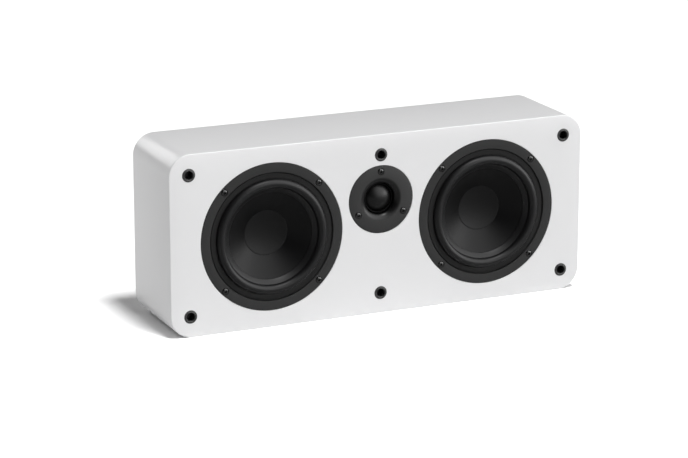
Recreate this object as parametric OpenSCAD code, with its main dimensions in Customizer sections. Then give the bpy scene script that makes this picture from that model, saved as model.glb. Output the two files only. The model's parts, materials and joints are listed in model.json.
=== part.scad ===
// Wall speaker: a closed white cabinet with two cone woofers and a dome tweeter between them.
// Millimetres. X is right as seen from the front, the front looks along -Y and +Z is up.
// The origin is on the floor, under the middle of the whole speaker.
// Depths are counted from the cabinet's front face, towards the back.

/* [Cabinet] */
// Width across the cabinet
cabinet_w = 450; // [430:1:600]
// Height of the cabinet
cabinet_h = 185; // [180:1:260]
// Depth from the front face to the back
cabinet_d = 102; // [98:1:180]
// Radius of the four long rounded edges
cabinet_edge_r = 22; // [18:0.5:30]
// Thickness of the sleeve's top, bottom and sides
wall_t = 15; // [10:0.5:16]
// Thickness of the front baffle
baffle_t = 18; // [15:0.5:22]
// Thickness of the rear panel
rear_t = 12; // [11:0.5:15]
// How far the rear panel's seat is cut into the walls
rear_seat_w = 5; // [3:0.5:7]
// Thickness of each inner brace
brace_t = 10; // [6:0.5:11]
// Distance of each brace's middle from the cabinet's middle
brace_x = 44.5; // [43:0.1:46]
// Frame left round each brace's window
brace_frame_w = 16; // [10:0.5:22]
// Corner radius of each brace's window
brace_window_r = 14; // [4:0.5:18]
// Thickness of the wadding behind each woofer
wadding_t = 12; // [5:0.5:14]
// Gap between the wadding and the walls beside it
wadding_gap = 3; // [1:0.5:8]

/* [Grille sockets] */
// Distance of the outer sockets from the cabinet's sides
socket_inset_x = 20.5; // [17:0.5:24]
// Distance of the sockets from the cabinet's top and bottom
socket_inset_z = 21; // [19:0.5:22]
// Radius of a socket's flange
socket_flange_r = 6.7; // [6.4:0.1:7.2]
// Thickness of a socket's flange
socket_flange_t = 1.6; // [1:0.1:2.5]
// How far a socket stands proud of the front face
socket_proud = 0.3; // [0.1:0.05:0.6]
// Outside radius of a socket's sleeve
socket_sleeve_r = 5.3; // [5.1:0.1:5.7]
// Radius of the hole that takes a grille's peg
socket_bore_r = 3.9; // [3.5:0.1:4.1]
// Length of a socket's plain mouth behind the front face
socket_mouth_l = 2; // [1.5:0.1:5]
// Radius of the ribbed hole behind the mouth
socket_relief_r = 4.4; // [4.2:0.1:4.8]
// Depth of a socket behind the front face
socket_depth = 12; // [9:0.5:13]
// Thickness of a socket's closed end
socket_end_t = 1.5; // [1:0.1:2.5]
// Height of the raised lip round a socket's hole
socket_lip_h = 0.5; // [0.2:0.1:0.8]
// How far the gripping ribs reach into the hole
socket_rib_h = 1; // [0.6:0.1:1.2]
// Width of a gripping rib
socket_rib_w = 0.7; // [0.4:0.1:1]
// Number of gripping ribs in a socket
socket_ribs = 8; // [4:1:10]

/* [Woofers] */
// Distance of each woofer's axis from the cabinet's middle
woofer_x = 117.5; // [116:0.5:126]
// Width of the flange's flat front ring
flange_w = 9.6; // [8:0.1:10.2]
// Thickness of the flange
flange_t = 4.5; // [4:0.1:7]
// Small edge break round the flange and the tweeter's plate
flange_edge = 0.5; // [0.2:0.1:1]
// Depth of the ledge that carries the surround
ledge_depth = 3; // [2.6:0.1:3.4]
// Thickness of the basket's metal
basket_t = 1.8; // [1.2:0.1:2.4]
// Number of spokes in the basket
basket_spokes = 6; // [4:1:8]
// Share of each spoke's pitch that is open
spoke_open_share = 0.66; // [0.4:0.01:0.8]
// Depth of the rear pot between the spider's shelf and the basket's back
pot_h = 12.5; // [11:0.5:16]
// Radius of the basket's rear pot
pot_r = 33; // [30:0.5:33]
// Radius of the spider's shelf
shelf_r = 43; // [42:0.5:45]
// Depth of the clamping ring's front behind the face
clamp_depth = 1.4; // [1:0.1:1.8]
// Width of the clamping ring
clamp_w = 5.5; // [4.5:0.1:6]
// Dark groove between the flange's ring and the clamping ring
clamp_groove_w = 1.1; // [0.5:0.1:1.6]
// Radius of the middle of the surround's roll
roll_r = 53.95; // [53.6:0.05:54.2]
// Half the width of the surround's roll
roll_w = 4.75; // [4.2:0.05:5]
// Depth of the roll's foot behind the face
roll_depth = 1.4; // [1.2:0.1:1.6]
// Thickness of the surround's rubber
rubber_t = 0.7; // [0.5:0.05:0.9]
// Width of the surround's inner lip on the cone
lip_w = 5; // [3:0.1:7]
// How far the cone's edge reaches under the roll
cone_lap = 0.8; // [0.6:0.05:1.2]
// Depth of the cone's outer edge behind the face
cone_depth = 2.1; // [2:0.05:2.4]
// Slope of the cone's straight side
cone_angle = 29; // [26:0.5:31]
// Thickness of the cone
cone_t = 0.7; // [0.4:0.05:1]
// Length of the cone's glued neck
neck_l = 4; // [3:0.5:5]
// Radius of the dust cap
cap_r = 23; // [20:0.5:25]
// Depth of the dust cap's hollow
cap_sag = 3.3; // [2.5:0.1:3.8]
// Thickness of the dust cap
cap_t = 0.6; // [0.4:0.05:0.8]
// Gap between the cone's neck and the spider's shelf
spider_gap = 4.5; // [3:0.5:7]
// Thickness of the spider
spider_t = 0.5; // [0.4:0.05:0.7]
// Height of each of the spider's waves
spider_wave_h = 1.1; // [0.6:0.1:1.6]
// Number of the spider's waves
spider_waves = 4; // [3:1:6]
// Radius of the pole piece
pole_r = 12; // [11.5:0.1:12.2]
// Clear gap on each side of the voice coil
coil_gap = 0.45; // [0.35:0.05:0.6]
// Thickness of the voice coil's former
former_t = 0.25; // [0.2:0.05:0.35]
// Thickness of the voice coil's winding
winding_t = 0.6; // [0.4:0.05:0.8]
// Length of the voice coil's winding
winding_l = 12; // [9:0.5:14]
// Radius of the top plate
top_plate_r = 34; // [33.5:0.5:38]
// Thickness of the top plate
top_plate_t = 5; // [4:0.5:6]
// Radius of the magnet
magnet_r = 40; // [36:0.5:44]
// Thickness of the magnet
magnet_t = 15; // [14:0.5:17]
// Inside radius of the magnet
magnet_in_r = 17; // [15.5:0.5:20]
// Radius of the yoke's back plate
yoke_r = 36; // [32:0.5:40]
// Thickness of the yoke's back plate
yoke_t = 6; // [5:0.5:7]
// Radius of the vent through the pole piece
vent_r = 4; // [2:0.5:6]

/* [Tweeter] */
// Height of the tweeter's axis above the woofers' axes
tweeter_rise = 25.6; // [24:0.1:27]
// Outside radius of the tweeter's plate
plate_r = 34.8; // [33:0.1:35.5]
// Thickness of the plate's flange
plate_t = 3.5; // [2.8:0.1:4.5]
// Radius of the boss behind the plate
boss_r = 24.5; // [23.8:0.1:24.8]
// Depth of the boss's back behind the face
boss_depth = 7; // [6:0.1:8]
// Radius where the horn leaves the face
horn_r = 23; // [21.5:0.1:24]
// Radius of the horn's curved flare
horn_flare_r = 9.5; // [8.5:0.1:11]
// Radius of the horn's throat
throat_r = 15.2; // [15:0.1:16]
// Radius of the dome
dome_r = 12.8; // [12.4:0.1:13]
// Height of the dome
dome_h = 5.8; // [4.5:0.1:6.2]
// Thickness of the dome's cloth
cloth_t = 0.3; // [0.2:0.05:0.4]
// Thickness of the lip clamped behind the plate
dome_lip_t = 0.5; // [0.4:0.05:0.8]
// Width of the lip clamped behind the plate
dome_lip_w = 3; // [2:0.1:4]
// Radius of the tweeter's pole piece
tweeter_pole_r = 12; // [11.6:0.1:12]
// Clear gap on each side of the tweeter's voice coil
tweeter_coil_gap = 0.3; // [0.25:0.05:0.4]
// Thickness of the tweeter's winding
tweeter_winding_t = 0.4; // [0.2:0.05:0.5]
// Length of the tweeter's winding
tweeter_winding_l = 3; // [2:0.1:4]
// Radius of the tweeter's top plate
tweeter_top_r = 21; // [19:0.5:21.5]
// Thickness of the tweeter's top plate
tweeter_top_t = 4; // [3:0.5:5]
// Radius of the tweeter's magnet
tweeter_magnet_r = 21.8; // [20:0.1:22]
// Thickness of the tweeter's magnet
tweeter_magnet_t = 14; // [10:0.5:18]
// Inside radius of the tweeter's magnet
tweeter_magnet_in_r = 15.5; // [14.5:0.5:17]
// Thickness of the tweeter's yoke
tweeter_yoke_t = 5; // [4:0.5:6]

// Thickness of the boards that carry the drivers' solder tags
tag_board_t = 1.2; // [0.8:0.1:1.4]
// Width of a woofer's tag board
tag_board_w = 20; // [18:0.5:24]
// Length of a woofer's tag board
tag_board_l = 14; // [12:0.5:15]
// Width of the tweeter's tag board
tweeter_tag_board_w = 10; // [9:0.5:12]
// Length of the tweeter's tag board
tweeter_tag_board_l = 12; // [10:0.5:16]
// Thickness of a solder tag
tag_t = 0.6; // [0.4:0.1:1]
// Width of a solder tag
tag_w = 3; // [2.6:0.1:3.4]

/* [Driver screws] */
// Distance of a woofer's screws from its flange's edge
woofer_screw_inset = 4.4; // [4.2:0.1:5]
// Screws in each woofer
woofer_screw_count = 4; // [4:4:8]
// Distance of the tweeter's screws from its axis
tweeter_screw_ring_r = 28.4; // [28:0.1:29.4]
// Screws in the tweeter
tweeter_screw_count = 3; // [3:3:6]
// Radius of a screw's head
screw_head_r = 3.5; // [3:0.1:3.6]
// Height of a screw's head
screw_head_h = 2.2; // [1.6:0.1:2.8]
// Radius of the sunk seat round a screw's head
screw_seat_r = 3.9; // [3.8:0.1:4]
// Depth of the sunk seat under a screw's head
screw_seat_depth = 1.5; // [1.1:0.1:2]
// Radius of a screw's shank
screw_r = 2; // [1.6:0.1:2]
// Length of a screw's shank
screw_l = 14; // [11:0.5:14.5]

/* [Terminals] */
// Height of the terminal cup's middle above the floor
cup_z = 46; // [44:0.5:47]
// Side of the terminal cup's square flange
cup_w = 64; // [62:0.5:66]
// Thickness of the terminal cup's walls
cup_t = 2.5; // [1.6:0.1:3]
// Radius of the dish at its mouth
dish_r = 24; // [23:0.5:25]
// Radius of the dish at its floor
dish_floor_r = 21; // [19.5:0.5:22]
// How far an unscrewed cap still sits below the back
dish_margin = 0.5; // [0.2:0.1:2]
// Distance between the two binding posts
post_pitch = 19.05; // [17:0.05:21]
// Radius of a post's threaded stud
stud_r = 3; // [2.5:0.1:3.2]
// Pitch of the stud's thread
stud_pitch = 1; // [0.75:0.05:1.25]
// Turns that a cap makes from shut to its stop
cap_turns = 4; // [2:1:4]
// Radius of a post's collar
collar_r = 5; // [4.2:0.1:5.6]
// Height of a post's collar
collar_h = 2; // [1.5:0.1:2.5]
// Height of the moulded boss under each post
post_boss_h = 1.5; // [1:0.1:2]
// Radius of a clamping washer
washer_r = 5.6; // [5:0.1:6.2]
// Thickness of a clamping washer
washer_t = 1; // [0.6:0.1:1.4]
// Radius of a post's cap
knob_r = 7; // [6.2:0.1:7.5]
// Height of a post's cap
knob_h = 11; // [9.5:0.5:11]
// Thickness of a cap's closed end
knob_end_t = 1.6; // [1:0.1:2]
// Radius of each finger groove round a cap
knob_groove_r = 1.2; // [0.6:0.1:1.6]
// Finger grooves round a cap
knob_grooves = 12; // [6:1:14]
// Distance of the cup's screws from its edges
cup_screw_inset = 5; // [4:0.5:6]
// Corner radius of the terminal cup's flange
cup_corner_r = 6; // [2:0.5:9]
// Radius of the hole through a stud that takes a bare wire
wire_hole_r = 1.2; // [0.8:0.1:1.4]
// Half the width across a nut's corners
nut_r = 5.6; // [5.2:0.1:6.5]
// Thickness of a nut
nut_t = 3; // [2.4:0.1:4]

/* [Wall hangers] */
// Distance of each keyhole hanger from the cabinet's middle
hanger_x = 150; // [120:1:170]
// Distance of the hangers' middles below the cabinet's top
hanger_drop = 37; // [34:0.5:60]
// Height of a hanger plate
hanger_h = 42; // [42:0.5:44]
// Width of a hanger plate
hanger_w = 24; // [22:0.5:30]
// Corner radius of a hanger plate
hanger_corner_r = 4; // [1:0.5:6]
// Thickness of a hanger plate
hanger_t = 1.5; // [1:0.1:2.5]
// Radius of the keyhole's round entry
keyhole_r = 5; // [4:0.1:6]
// Half the width of the keyhole's slot
keyhole_slot_r = 2.6; // [2:0.1:3.2]
// Distance from the entry to the slot's end
keyhole_l = 10; // [8:0.5:12]
// Depth of the pocket behind a hanger plate
hanger_pocket_depth = 7; // [5:0.5:8]

/* [Small screws] */
// Radius of a small screw's head
small_head_r = 2.6; // [2.2:0.1:3]
// Height of a small pan head
small_head_h = 1.8; // [1.2:0.1:2.2]
// Radius of a small screw's shank
small_screw_r = 1.4; // [1.2:0.1:1.6]
// Reach of a small screw into the rear panel
small_screw_reach = 8; // [5:0.5:9]

/* [Crossover] */
// Width of the crossover's board
board_w = 66; // [64:0.5:70]
// Height of the crossover's board
board_h = 84; // [80:0.5:88]
// Thickness of the crossover's board
board_t = 1.6; // [1.2:0.1:2.4]
// Gap between the posts' inner ends and the board's back
board_clear = 1; // [0.5:0.5:4]
// Gap between the posts' studs and the board's lower edge
board_lift = 1.5; // [1:0.5:4]
// Radius of the spacers behind the board
spacer_r = 3; // [2.6:0.1:4]
// Distance of the board's screws from its edges
board_screw_inset = 4.5; // [4:0.5:5]
// Radius of the woofers' inductor
big_coil_r = 15; // [12:0.5:15.5]
// Height of the woofers' inductor
big_coil_h = 16; // [12:0.5:20]
// Radius of the tweeter's inductor
small_coil_r = 10; // [8:0.5:11]
// Height of the tweeter's inductor
small_coil_h = 11; // [8:0.5:16]
// Thickness of the inductors' end flanges
bobbin_flange_t = 1.2; // [0.8:0.1:1.6]
// Radius of the woofers' capacitor
big_can_r = 6.5; // [5:0.5:7]
// Length of the woofers' capacitor
big_can_l = 30; // [24:0.5:32]
// Radius of the tweeter's capacitor
small_can_r = 5; // [4:0.5:5.5]
// Length of the tweeter's capacitor
small_can_l = 24; // [18:0.5:28]
// Side of the square resistor
resistor_w = 9; // [6:0.5:9]
// Length of the resistor
resistor_l = 38; // [30:0.5:40]
// Radius of the parts' bare leads
lead_r = 0.5; // [0.3:0.05:0.8]

/* [Wiring] */
// Radius of each insulated inner wire
wire_r = 1.1; // [0.8:0.05:1.3]
// Straight run of a wire before it bends away
wire_slack = 30; // [20:1:36]

/* [Hidden] */
$fn = 96;

// One overrun for every cut, and the small clearances that pieces are fitted with
cut = 1;
seat_gap = 0.3;
fit_gap = 0.05;
thread_gap = 0.05;

// Colours as the photograph shows them
WHITE = [0.92, 0.92, 0.93];
CHARCOAL = [0.22, 0.22, 0.22];
BLACK = [0.06, 0.06, 0.06];
STEEL = [0.62, 0.63, 0.65];
BRASS = [0.83, 0.66, 0.3];
COPPER = [0.72, 0.43, 0.2];
MDF = [0.72, 0.58, 0.42];

// Places of the cabinet, of its three drivers and of its back
roll_proud = roll_w - roll_depth;
front_y = -(cabinet_d - roll_proud) / 2;
woofer_z = cabinet_h / 2;
tweeter_z = woofer_z + tweeter_rise;
rear_depth = cabinet_d - rear_t;
inner_edge_r = cabinet_edge_r - wall_t;
seat_edge_r = inner_edge_r + rear_seat_w;
inner_w = cabinet_w - 2 * wall_t;
inner_h = cabinet_h - 2 * wall_t;
rear_seat_out_w = inner_w + 2 * rear_seat_w;
rear_seat_out_h = inner_h + 2 * rear_seat_w;
inner_d = rear_depth - baffle_t;
wadding_in_x = brace_x + brace_t / 2 + wadding_gap;
wadding_out_x = inner_w / 2 - wadding_gap;
socket_x = cabinet_w / 2 - socket_inset_x;
socket_z = cabinet_h / 2 - socket_inset_z;
socket_lip_r = socket_sleeve_r - socket_lip_h;
socket_rib_l = socket_depth - socket_end_t - socket_mouth_l;
socket_rib_root = (socket_sleeve_r - socket_relief_r) / 2;

// The woofer's rings, from its roll inwards and outwards
roll_in_r = roll_r - roll_w;
lip_in_r = roll_in_r - lip_w;
cone_r = roll_in_r + cone_lap;
clamp_in_r = roll_r + roll_w + seat_gap;
clamp_r = clamp_in_r + clamp_w;
flange_ring_r = clamp_r + clamp_groove_w;
flange_r = flange_ring_r + flange_w;
woofer_screw_ring_r = flange_r - woofer_screw_inset;

// The woofer's stack, from its front to its back
cone_rise = tan(cone_angle);
former_in_r = pole_r + coil_gap;
former_r = former_in_r + former_t;
winding_r = former_r + winding_t;
gap_r = winding_r + coil_gap;
cone_t_deep = cone_t / cos(cone_angle);
lip_t_deep = rubber_t / cos(cone_angle);
neck_r = former_r + cone_t;
neck_depth = depth_on_cone(former_r) + neck_l;
shelf_depth = neck_depth + spider_gap;
basket_depth = shelf_depth + pot_h;
top_plate_depth = basket_depth;
magnet_depth = top_plate_depth + top_plate_t;
yoke_depth = magnet_depth + magnet_t;
woofer_depth = yoke_depth + yoke_t;
ledge_in_r = roll_r + roll_w - rubber_t;
shelf_in_r = pot_r - basket_t;
shelf_back_depth = shelf_depth + basket_t;
ledge_back_depth = ledge_depth + basket_t;
basket_top_r = ledge_in_r + basket_t;
basket_low_r = shelf_r - basket_t;
basket_side_rise = (basket_top_r - basket_low_r) / (shelf_depth - ledge_back_depth);
basket_side_w = basket_t * sqrt(1 + basket_side_rise * basket_side_rise);
pot_hole_r = gap_r + basket_t;
spider_r = basket_low_r - seat_gap;
spider_flat_depth = shelf_depth - spider_t;
spider_wave_in_r = former_r + 2 * former_t;
spider_wave_out_r = shelf_in_r;
spider_steps = 8 * spider_waves;
tag_board_in_r = pot_r + seat_gap;
tag_mid_r = tag_board_in_r + tag_board_l - tag_w;
tag_pitch = tag_board_w - 3 * tag_w;
clamp_t = ledge_depth - rubber_t - clamp_depth;
cutout_r = flange_ring_r + seat_gap;
coil_mid_depth = top_plate_depth + top_plate_t / 2;
coil_end_depth = coil_mid_depth + winding_l / 2;
former_depth = depth_on_cone(former_r) - cone_t;
cap_edge_depth = depth_on_cone(cap_r);
cap_ball_r = (cap_r * cap_r + cap_sag * cap_sag) / (2 * cap_sag);

// The tweeter's stack
dome_ball_r = (dome_r * dome_r + dome_h * dome_h) / (2 * dome_h);
tweeter_former_in_r = tweeter_pole_r + tweeter_coil_gap;
tweeter_winding_r = dome_r;
tweeter_former_r = tweeter_winding_r - tweeter_winding_t;
tweeter_gap_r = tweeter_winding_r + tweeter_coil_gap;
tweeter_top_depth = boss_depth + dome_lip_t;
tweeter_magnet_depth = tweeter_top_depth + tweeter_top_t;
tweeter_yoke_depth = tweeter_magnet_depth + tweeter_magnet_t;
tweeter_coil_mid_depth = tweeter_top_depth + tweeter_top_t / 2;
dome_roll_out_r = throat_r - seat_gap;
dome_roll_w = (dome_roll_out_r - dome_r) / 2;
dome_roll_r = dome_r + dome_roll_w;
tweeter_cutout_r = boss_r + seat_gap;
tweeter_coil_end_depth = tweeter_coil_mid_depth + tweeter_winding_l / 2;
tweeter_vent_r = tweeter_pole_r / 3;
tweeter_tag_r = tweeter_magnet_r + wire_r + seat_gap;
tweeter_tag_pitch = tweeter_tag_board_w - tag_w;

// The binding posts, counted from the front like every depth
cap_travel = stud_pitch * cap_turns;
dish_depth = post_boss_h + collar_h + washer_t + knob_h + cap_travel + dish_margin;
dish_floor_depth = cabinet_d - dish_depth;
cup_floor_depth = dish_floor_depth - cup_t;
post_boss_depth = dish_floor_depth + post_boss_h;
collar_depth = post_boss_depth + collar_h;
washer_depth = collar_depth + washer_t;
knob_end_depth = washer_depth + knob_h;
stud_end_depth = knob_end_depth - knob_end_t - seat_gap;
nut_depth = cup_floor_depth - nut_t;
stud_start_depth = nut_depth - nut_t;
cup_body_r = dish_r + cup_t;
cup_screw_spot = cup_w / 2 - cup_screw_inset;

// The crossover's board and the places of its parts, as shares of the board
board_z = cup_z + stud_r + board_lift + board_h / 2;
board_back_depth = stud_start_depth - board_clear;
spacer_l = rear_depth - board_back_depth;
board_depth = board_back_depth - board_t;
big_coil_share = [-0.2, 0.26];
small_coil_share = [0.28, 0.28];
big_can_share = -0.03;
small_can_share = -0.2;
resistor_share = -0.34;
input_pad_share = [0.1, -0.45];
woofer_pad_share = [0.38, -0.07];
tweeter_pad_share = [0.28, -0.45];
pad_step_share = 0.04;
lead_run = 3 * lead_r;
bobbin_winding_share = 0.88;
bobbin_hole_share = 0.35;

// Shares of a screw head's radius and height
head_flat_share = 0.6;
head_side_share = 0.45;
recess_share = 0.6;
recess_w_share = 0.3;

// The wall hangers
hanger_z = cabinet_h - hanger_drop;
hanger_screw_spot = hanger_h / 2 - hanger_corner_r;
pocket_w = 2 * keyhole_r + 4 * seat_gap;
pocket_h = keyhole_l + 2 * keyhole_r + 4 * seat_gap;

// The wires' smoothness, and a direction that none of them runs along
wire_steps = 10;
wire_sides = 8;
wire_side_way = unit([1, 0, 0.2]);

// Depth of the cone's front surface at a given radius
function depth_on_cone(r) = cone_depth + (cone_r - r) * cone_rise;

// Frame on the front face: local Z runs into the cabinet, local Y runs down
module on_face(x, z, depth = 0) {
    translate([x, front_y + depth, z])
        rotate([-90, 0, 0])
            children();
}

// A ring of copies in that frame, counted anticlockwise from +X as seen from the front
module ring_of(count, r, start = 0) {
    for (i = [0:count - 1])
        rotate([0, 0, -(start + i * 360 / count)])
            translate([r, 0, 0])
                children();
}

module rounded_outline(w, h, r) {
    square([w - 2 * r, h], center = true);
    square([w, h - 2 * r], center = true);
    for (x = [-1, 1], y = [-1, 1])
        translate([x * (w / 2 - r), y * (h / 2 - r)])
            circle(r);
}

// A rounded slab of the cabinet's outline, between two depths
module slab(w, h, r, from, to) {
    on_face(0, woofer_z, from)
        linear_extrude(to - from)
            rounded_outline(w, h, r);
}

// A flat ring between two radii and two depths
module washer(r_out, r_in, from, to) {
    translate([0, 0, from])
        difference() {
            cylinder(h = to - from, r = r_out);
            translate([0, 0, -cut])
                cylinder(h = to - from + 2 * cut, r = r_in);
        }
}

// Cabinet

module cabinet_sleeve() {
    color(WHITE)
        difference() {
            slab(cabinet_w, cabinet_h, cabinet_edge_r, baffle_t, cabinet_d);
            slab(inner_w, inner_h, inner_edge_r, baffle_t - cut, cabinet_d + cut);
            slab(rear_seat_out_w, rear_seat_out_h, seat_edge_r, rear_depth, cabinet_d + cut);
        }
}

module front_baffle() {
    color(WHITE)
        difference() {
            slab(cabinet_w, cabinet_h, cabinet_edge_r, 0, baffle_t);
            for (x = [-woofer_x, woofer_x])
                on_face(x, woofer_z)
                    driver_opening(flange_r, flange_t, cutout_r)
                        at_woofer_screws() pilot_hole();
            on_face(0, tweeter_z)
                driver_opening(plate_r, plate_t, tweeter_cutout_r)
                    at_tweeter_screws() pilot_hole();
            at_sockets() {
                translate([0, 0, -cut])
                    cylinder(h = socket_flange_t - socket_proud + cut, r = socket_flange_r + fit_gap);
                translate([0, 0, -cut])
                    cylinder(h = baffle_t + 2 * cut, r = socket_sleeve_r + fit_gap);
            }
        }
}

// A seat for a driver's flange, a hole for its body and its screws' pilot holes
module driver_opening(seat_r, seat_depth, hole_r) {
    translate([0, 0, -cut])
        cylinder(h = seat_depth + cut, r = seat_r + seat_gap);
    translate([0, 0, -cut])
        cylinder(h = baffle_t + 2 * cut, r = hole_r);
    children();
}

module pilot_hole() {
    cylinder(h = screw_seat_depth + screw_l + seat_gap, r = screw_r + thread_gap);
}

module rear_panel() {
    color(WHITE)
        difference() {
            slab(rear_seat_out_w - 2 * fit_gap, rear_seat_out_h - 2 * fit_gap, seat_edge_r - fit_gap,
                rear_depth, cabinet_d);
            on_face(0, cup_z, rear_depth - cut)
                cylinder(h = rear_t + 2 * cut, r = cup_body_r + seat_gap);
            on_back(0, cup_z) {
                translate([0, 0, -cut])
                    linear_extrude(cup_t + cut)
                        rounded_outline(cup_w + 2 * seat_gap, cup_w + 2 * seat_gap, cup_corner_r + seat_gap);
                at_cup_screws() small_pilot_hole();
            }
            for (x = [-hanger_x, hanger_x])
                on_back(x, hanger_z) {
                    translate([0, 0, -cut])
                        linear_extrude(hanger_t + cut)
                            rounded_outline(hanger_w + 2 * seat_gap, hanger_h + 2 * seat_gap,
                                hanger_corner_r + seat_gap);
                    linear_extrude(hanger_t + hanger_pocket_depth)
                        rounded_outline(pocket_w, pocket_h, keyhole_r);
                    at_hanger_screws() small_pilot_hole();
                }
            on_face(0, board_z, rear_depth)
                at_board_screws()
                    translate([0, 0, -cut])
                        cylinder(h = small_screw_reach + seat_gap + cut, r = small_screw_r + thread_gap);
        }
}

module small_pilot_hole() {
    cylinder(h = small_screw_reach + seat_gap, r = small_screw_r + thread_gap);
}

module cabinet_braces() {
    color(MDF)
        for (side = [-1, 1])
            translate([side * brace_x, front_y + (baffle_t + rear_depth) / 2, woofer_z])
                rotate([90, 0, 90])
                    translate([0, 0, -brace_t / 2])
                        linear_extrude(brace_t)
                            difference() {
                                square([inner_d, inner_h], center = true);
                                rounded_outline(inner_d - 2 * brace_frame_w, inner_h - 2 * brace_frame_w,
                                    brace_window_r);
                            }
}

// A slab behind each woofer, with a round hole where the magnet's vent breathes
module wadding() {
    color([0.88, 0.88, 0.85])
        for (side = [-1, 1])
            difference() {
                on_face(side * (wadding_in_x + wadding_out_x) / 2, woofer_z, rear_depth - wadding_t)
                    linear_extrude(wadding_t)
                        rounded_outline(wadding_out_x - wadding_in_x, inner_h - 2 * wadding_gap,
                            wadding_t / 2);
                on_face(side * woofer_x, woofer_z, rear_depth - wadding_t - cut)
                    cylinder(h = wadding_t + 2 * cut, r = magnet_r + wadding_gap);
            }
}

module at_sockets() {
    for (x = [-socket_x, 0, socket_x], z = [-socket_z, socket_z])
        on_face(x, woofer_z + z)
            children();
}

// A rubber cup with a raised lip and gripping ribs
module grille_sockets() {
    color(BLACK)
        at_sockets() {
            difference() {
                union() {
                    translate([0, 0, -socket_proud])
                        cylinder(h = socket_flange_t, r = socket_flange_r);
                    translate([0, 0, -socket_proud])
                        cylinder(h = socket_depth + socket_proud, r = socket_sleeve_r);
                    translate([0, 0, -socket_proud])
                        rotate_extrude()
                            translate([socket_lip_r, 0])
                                circle(socket_lip_h, $fn = 32);
                }
                translate([0, 0, -socket_proud - cut])
                    cylinder(h = socket_proud + socket_mouth_l + cut, r = socket_bore_r);
                translate([0, 0, socket_mouth_l])
                    cylinder(h = socket_rib_l, r = socket_relief_r);
            }
            ring_of(socket_ribs, socket_relief_r)
                translate([-socket_rib_h, -socket_rib_w / 2, socket_mouth_l])
                    cube([socket_rib_h + socket_rib_root, socket_rib_w, socket_rib_l]);
        }
}

// Woofers

module at_woofer_screws() {
    ring_of(woofer_screw_count, woofer_screw_ring_r, 180 / woofer_screw_count)
        children();
}

module flange_screw_hole(flange_depth) {
    translate([0, 0, -cut])
        cylinder(h = screw_seat_depth + cut, r = screw_seat_r);
    cylinder(h = flange_depth + cut, r = screw_r + seat_gap);
}

// Cast frame: flat front ring, ledge for the surround, spoked side, spider's shelf and rear pot
module basket(x) {
    color(CHARCOAL)
        on_face(x, woofer_z)
            difference() {
                rotate_extrude()
                    polygon([
                        [flange_ring_r, 0],
                        [flange_r - flange_edge, 0],
                        [flange_r, flange_edge],
                        [flange_r, flange_t],
                        [basket_top_r + basket_side_w, flange_t],
                        [basket_low_r + basket_side_w, shelf_back_depth],
                        [pot_r, shelf_back_depth],
                        [pot_r, basket_depth],
                        [pot_hole_r, basket_depth],
                        [pot_hole_r, basket_depth - basket_t],
                        [shelf_in_r, basket_depth - basket_t],
                        [shelf_in_r, shelf_depth],
                        [basket_low_r, shelf_depth],
                        [basket_top_r, ledge_back_depth],
                        [ledge_in_r, ledge_back_depth],
                        [ledge_in_r, ledge_depth],
                        [flange_ring_r, ledge_depth],
                    ]);
                for (i = [0:basket_spokes - 1])
                    rotate([0, 0, (i + (1 - spoke_open_share) / 2) * 360 / basket_spokes])
                        rotate_extrude(angle = spoke_open_share * 360 / basket_spokes)
                            translate([shelf_r + 2 * basket_t, flange_t + 2 * basket_t])
                                square([cutout_r - shelf_r, shelf_depth - flange_t]);
                at_woofer_screws() flange_screw_hole(flange_t);
            }
}

module clamp_ring(x) {
    color(BLACK)
        on_face(x, woofer_z)
            washer(clamp_r, clamp_in_r, clamp_depth, clamp_depth + clamp_t);
}

// Rubber half roll, with a flat lip on the basket's ledge and a sloped lip glued on the cone
module surround(x) {
    color(BLACK)
        on_face(x, woofer_z)
            rotate_extrude() {
                translate([roll_r, roll_depth])
                    intersection() {
                        difference() {
                            circle(roll_w);
                            circle(roll_w - rubber_t);
                        }
                        translate([-roll_w, -roll_w])
                            square([2 * roll_w, roll_w]);
                    }
                translate([ledge_in_r, roll_depth])
                    square([rubber_t, ledge_depth - roll_depth]);
                translate([ledge_in_r, ledge_depth - rubber_t])
                    square([clamp_r - ledge_in_r, rubber_t]);
                polygon([
                    [roll_in_r, roll_depth],
                    [roll_in_r + rubber_t, roll_depth],
                    [roll_in_r + rubber_t, depth_on_cone(roll_in_r + rubber_t)],
                    [lip_in_r, depth_on_cone(lip_in_r)],
                    [lip_in_r, depth_on_cone(lip_in_r) - lip_t_deep],
                    [roll_in_r, depth_on_cone(roll_in_r) - lip_t_deep],
                ]);
            }
}

module cone(x) {
    color(BLACK)
        on_face(x, woofer_z)
            rotate_extrude()
                polygon([
                    [cone_r, cone_depth],
                    [cone_r, cone_depth + cone_t_deep],
                    [neck_r, depth_on_cone(neck_r) + cone_t_deep],
                    [neck_r, neck_depth],
                    [former_r, neck_depth],
                    [former_r, depth_on_cone(former_r)],
                ]);
}

// Hollow cap whose rim is cut to lie on the cone
module dust_cap(x) {
    color(BLACK)
        on_face(x, woofer_z)
            rotate_extrude()
                difference() {
                    intersection() {
                        translate([0, cap_edge_depth + cap_sag - cap_ball_r])
                            difference() {
                                circle(cap_ball_r + cap_t, $fn = 360);
                                circle(cap_ball_r, $fn = 360);
                            }
                        translate([0, cap_edge_depth - cap_t])
                            square([cap_r, cap_sag + 2 * cap_t + cut]);
                    }
                    polygon([
                        [cap_r + cut, depth_on_cone(cap_r + cut)],
                        [former_r, depth_on_cone(former_r)],
                        [cap_r + cut, depth_on_cone(former_r)],
                    ]);
                }
}

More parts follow.
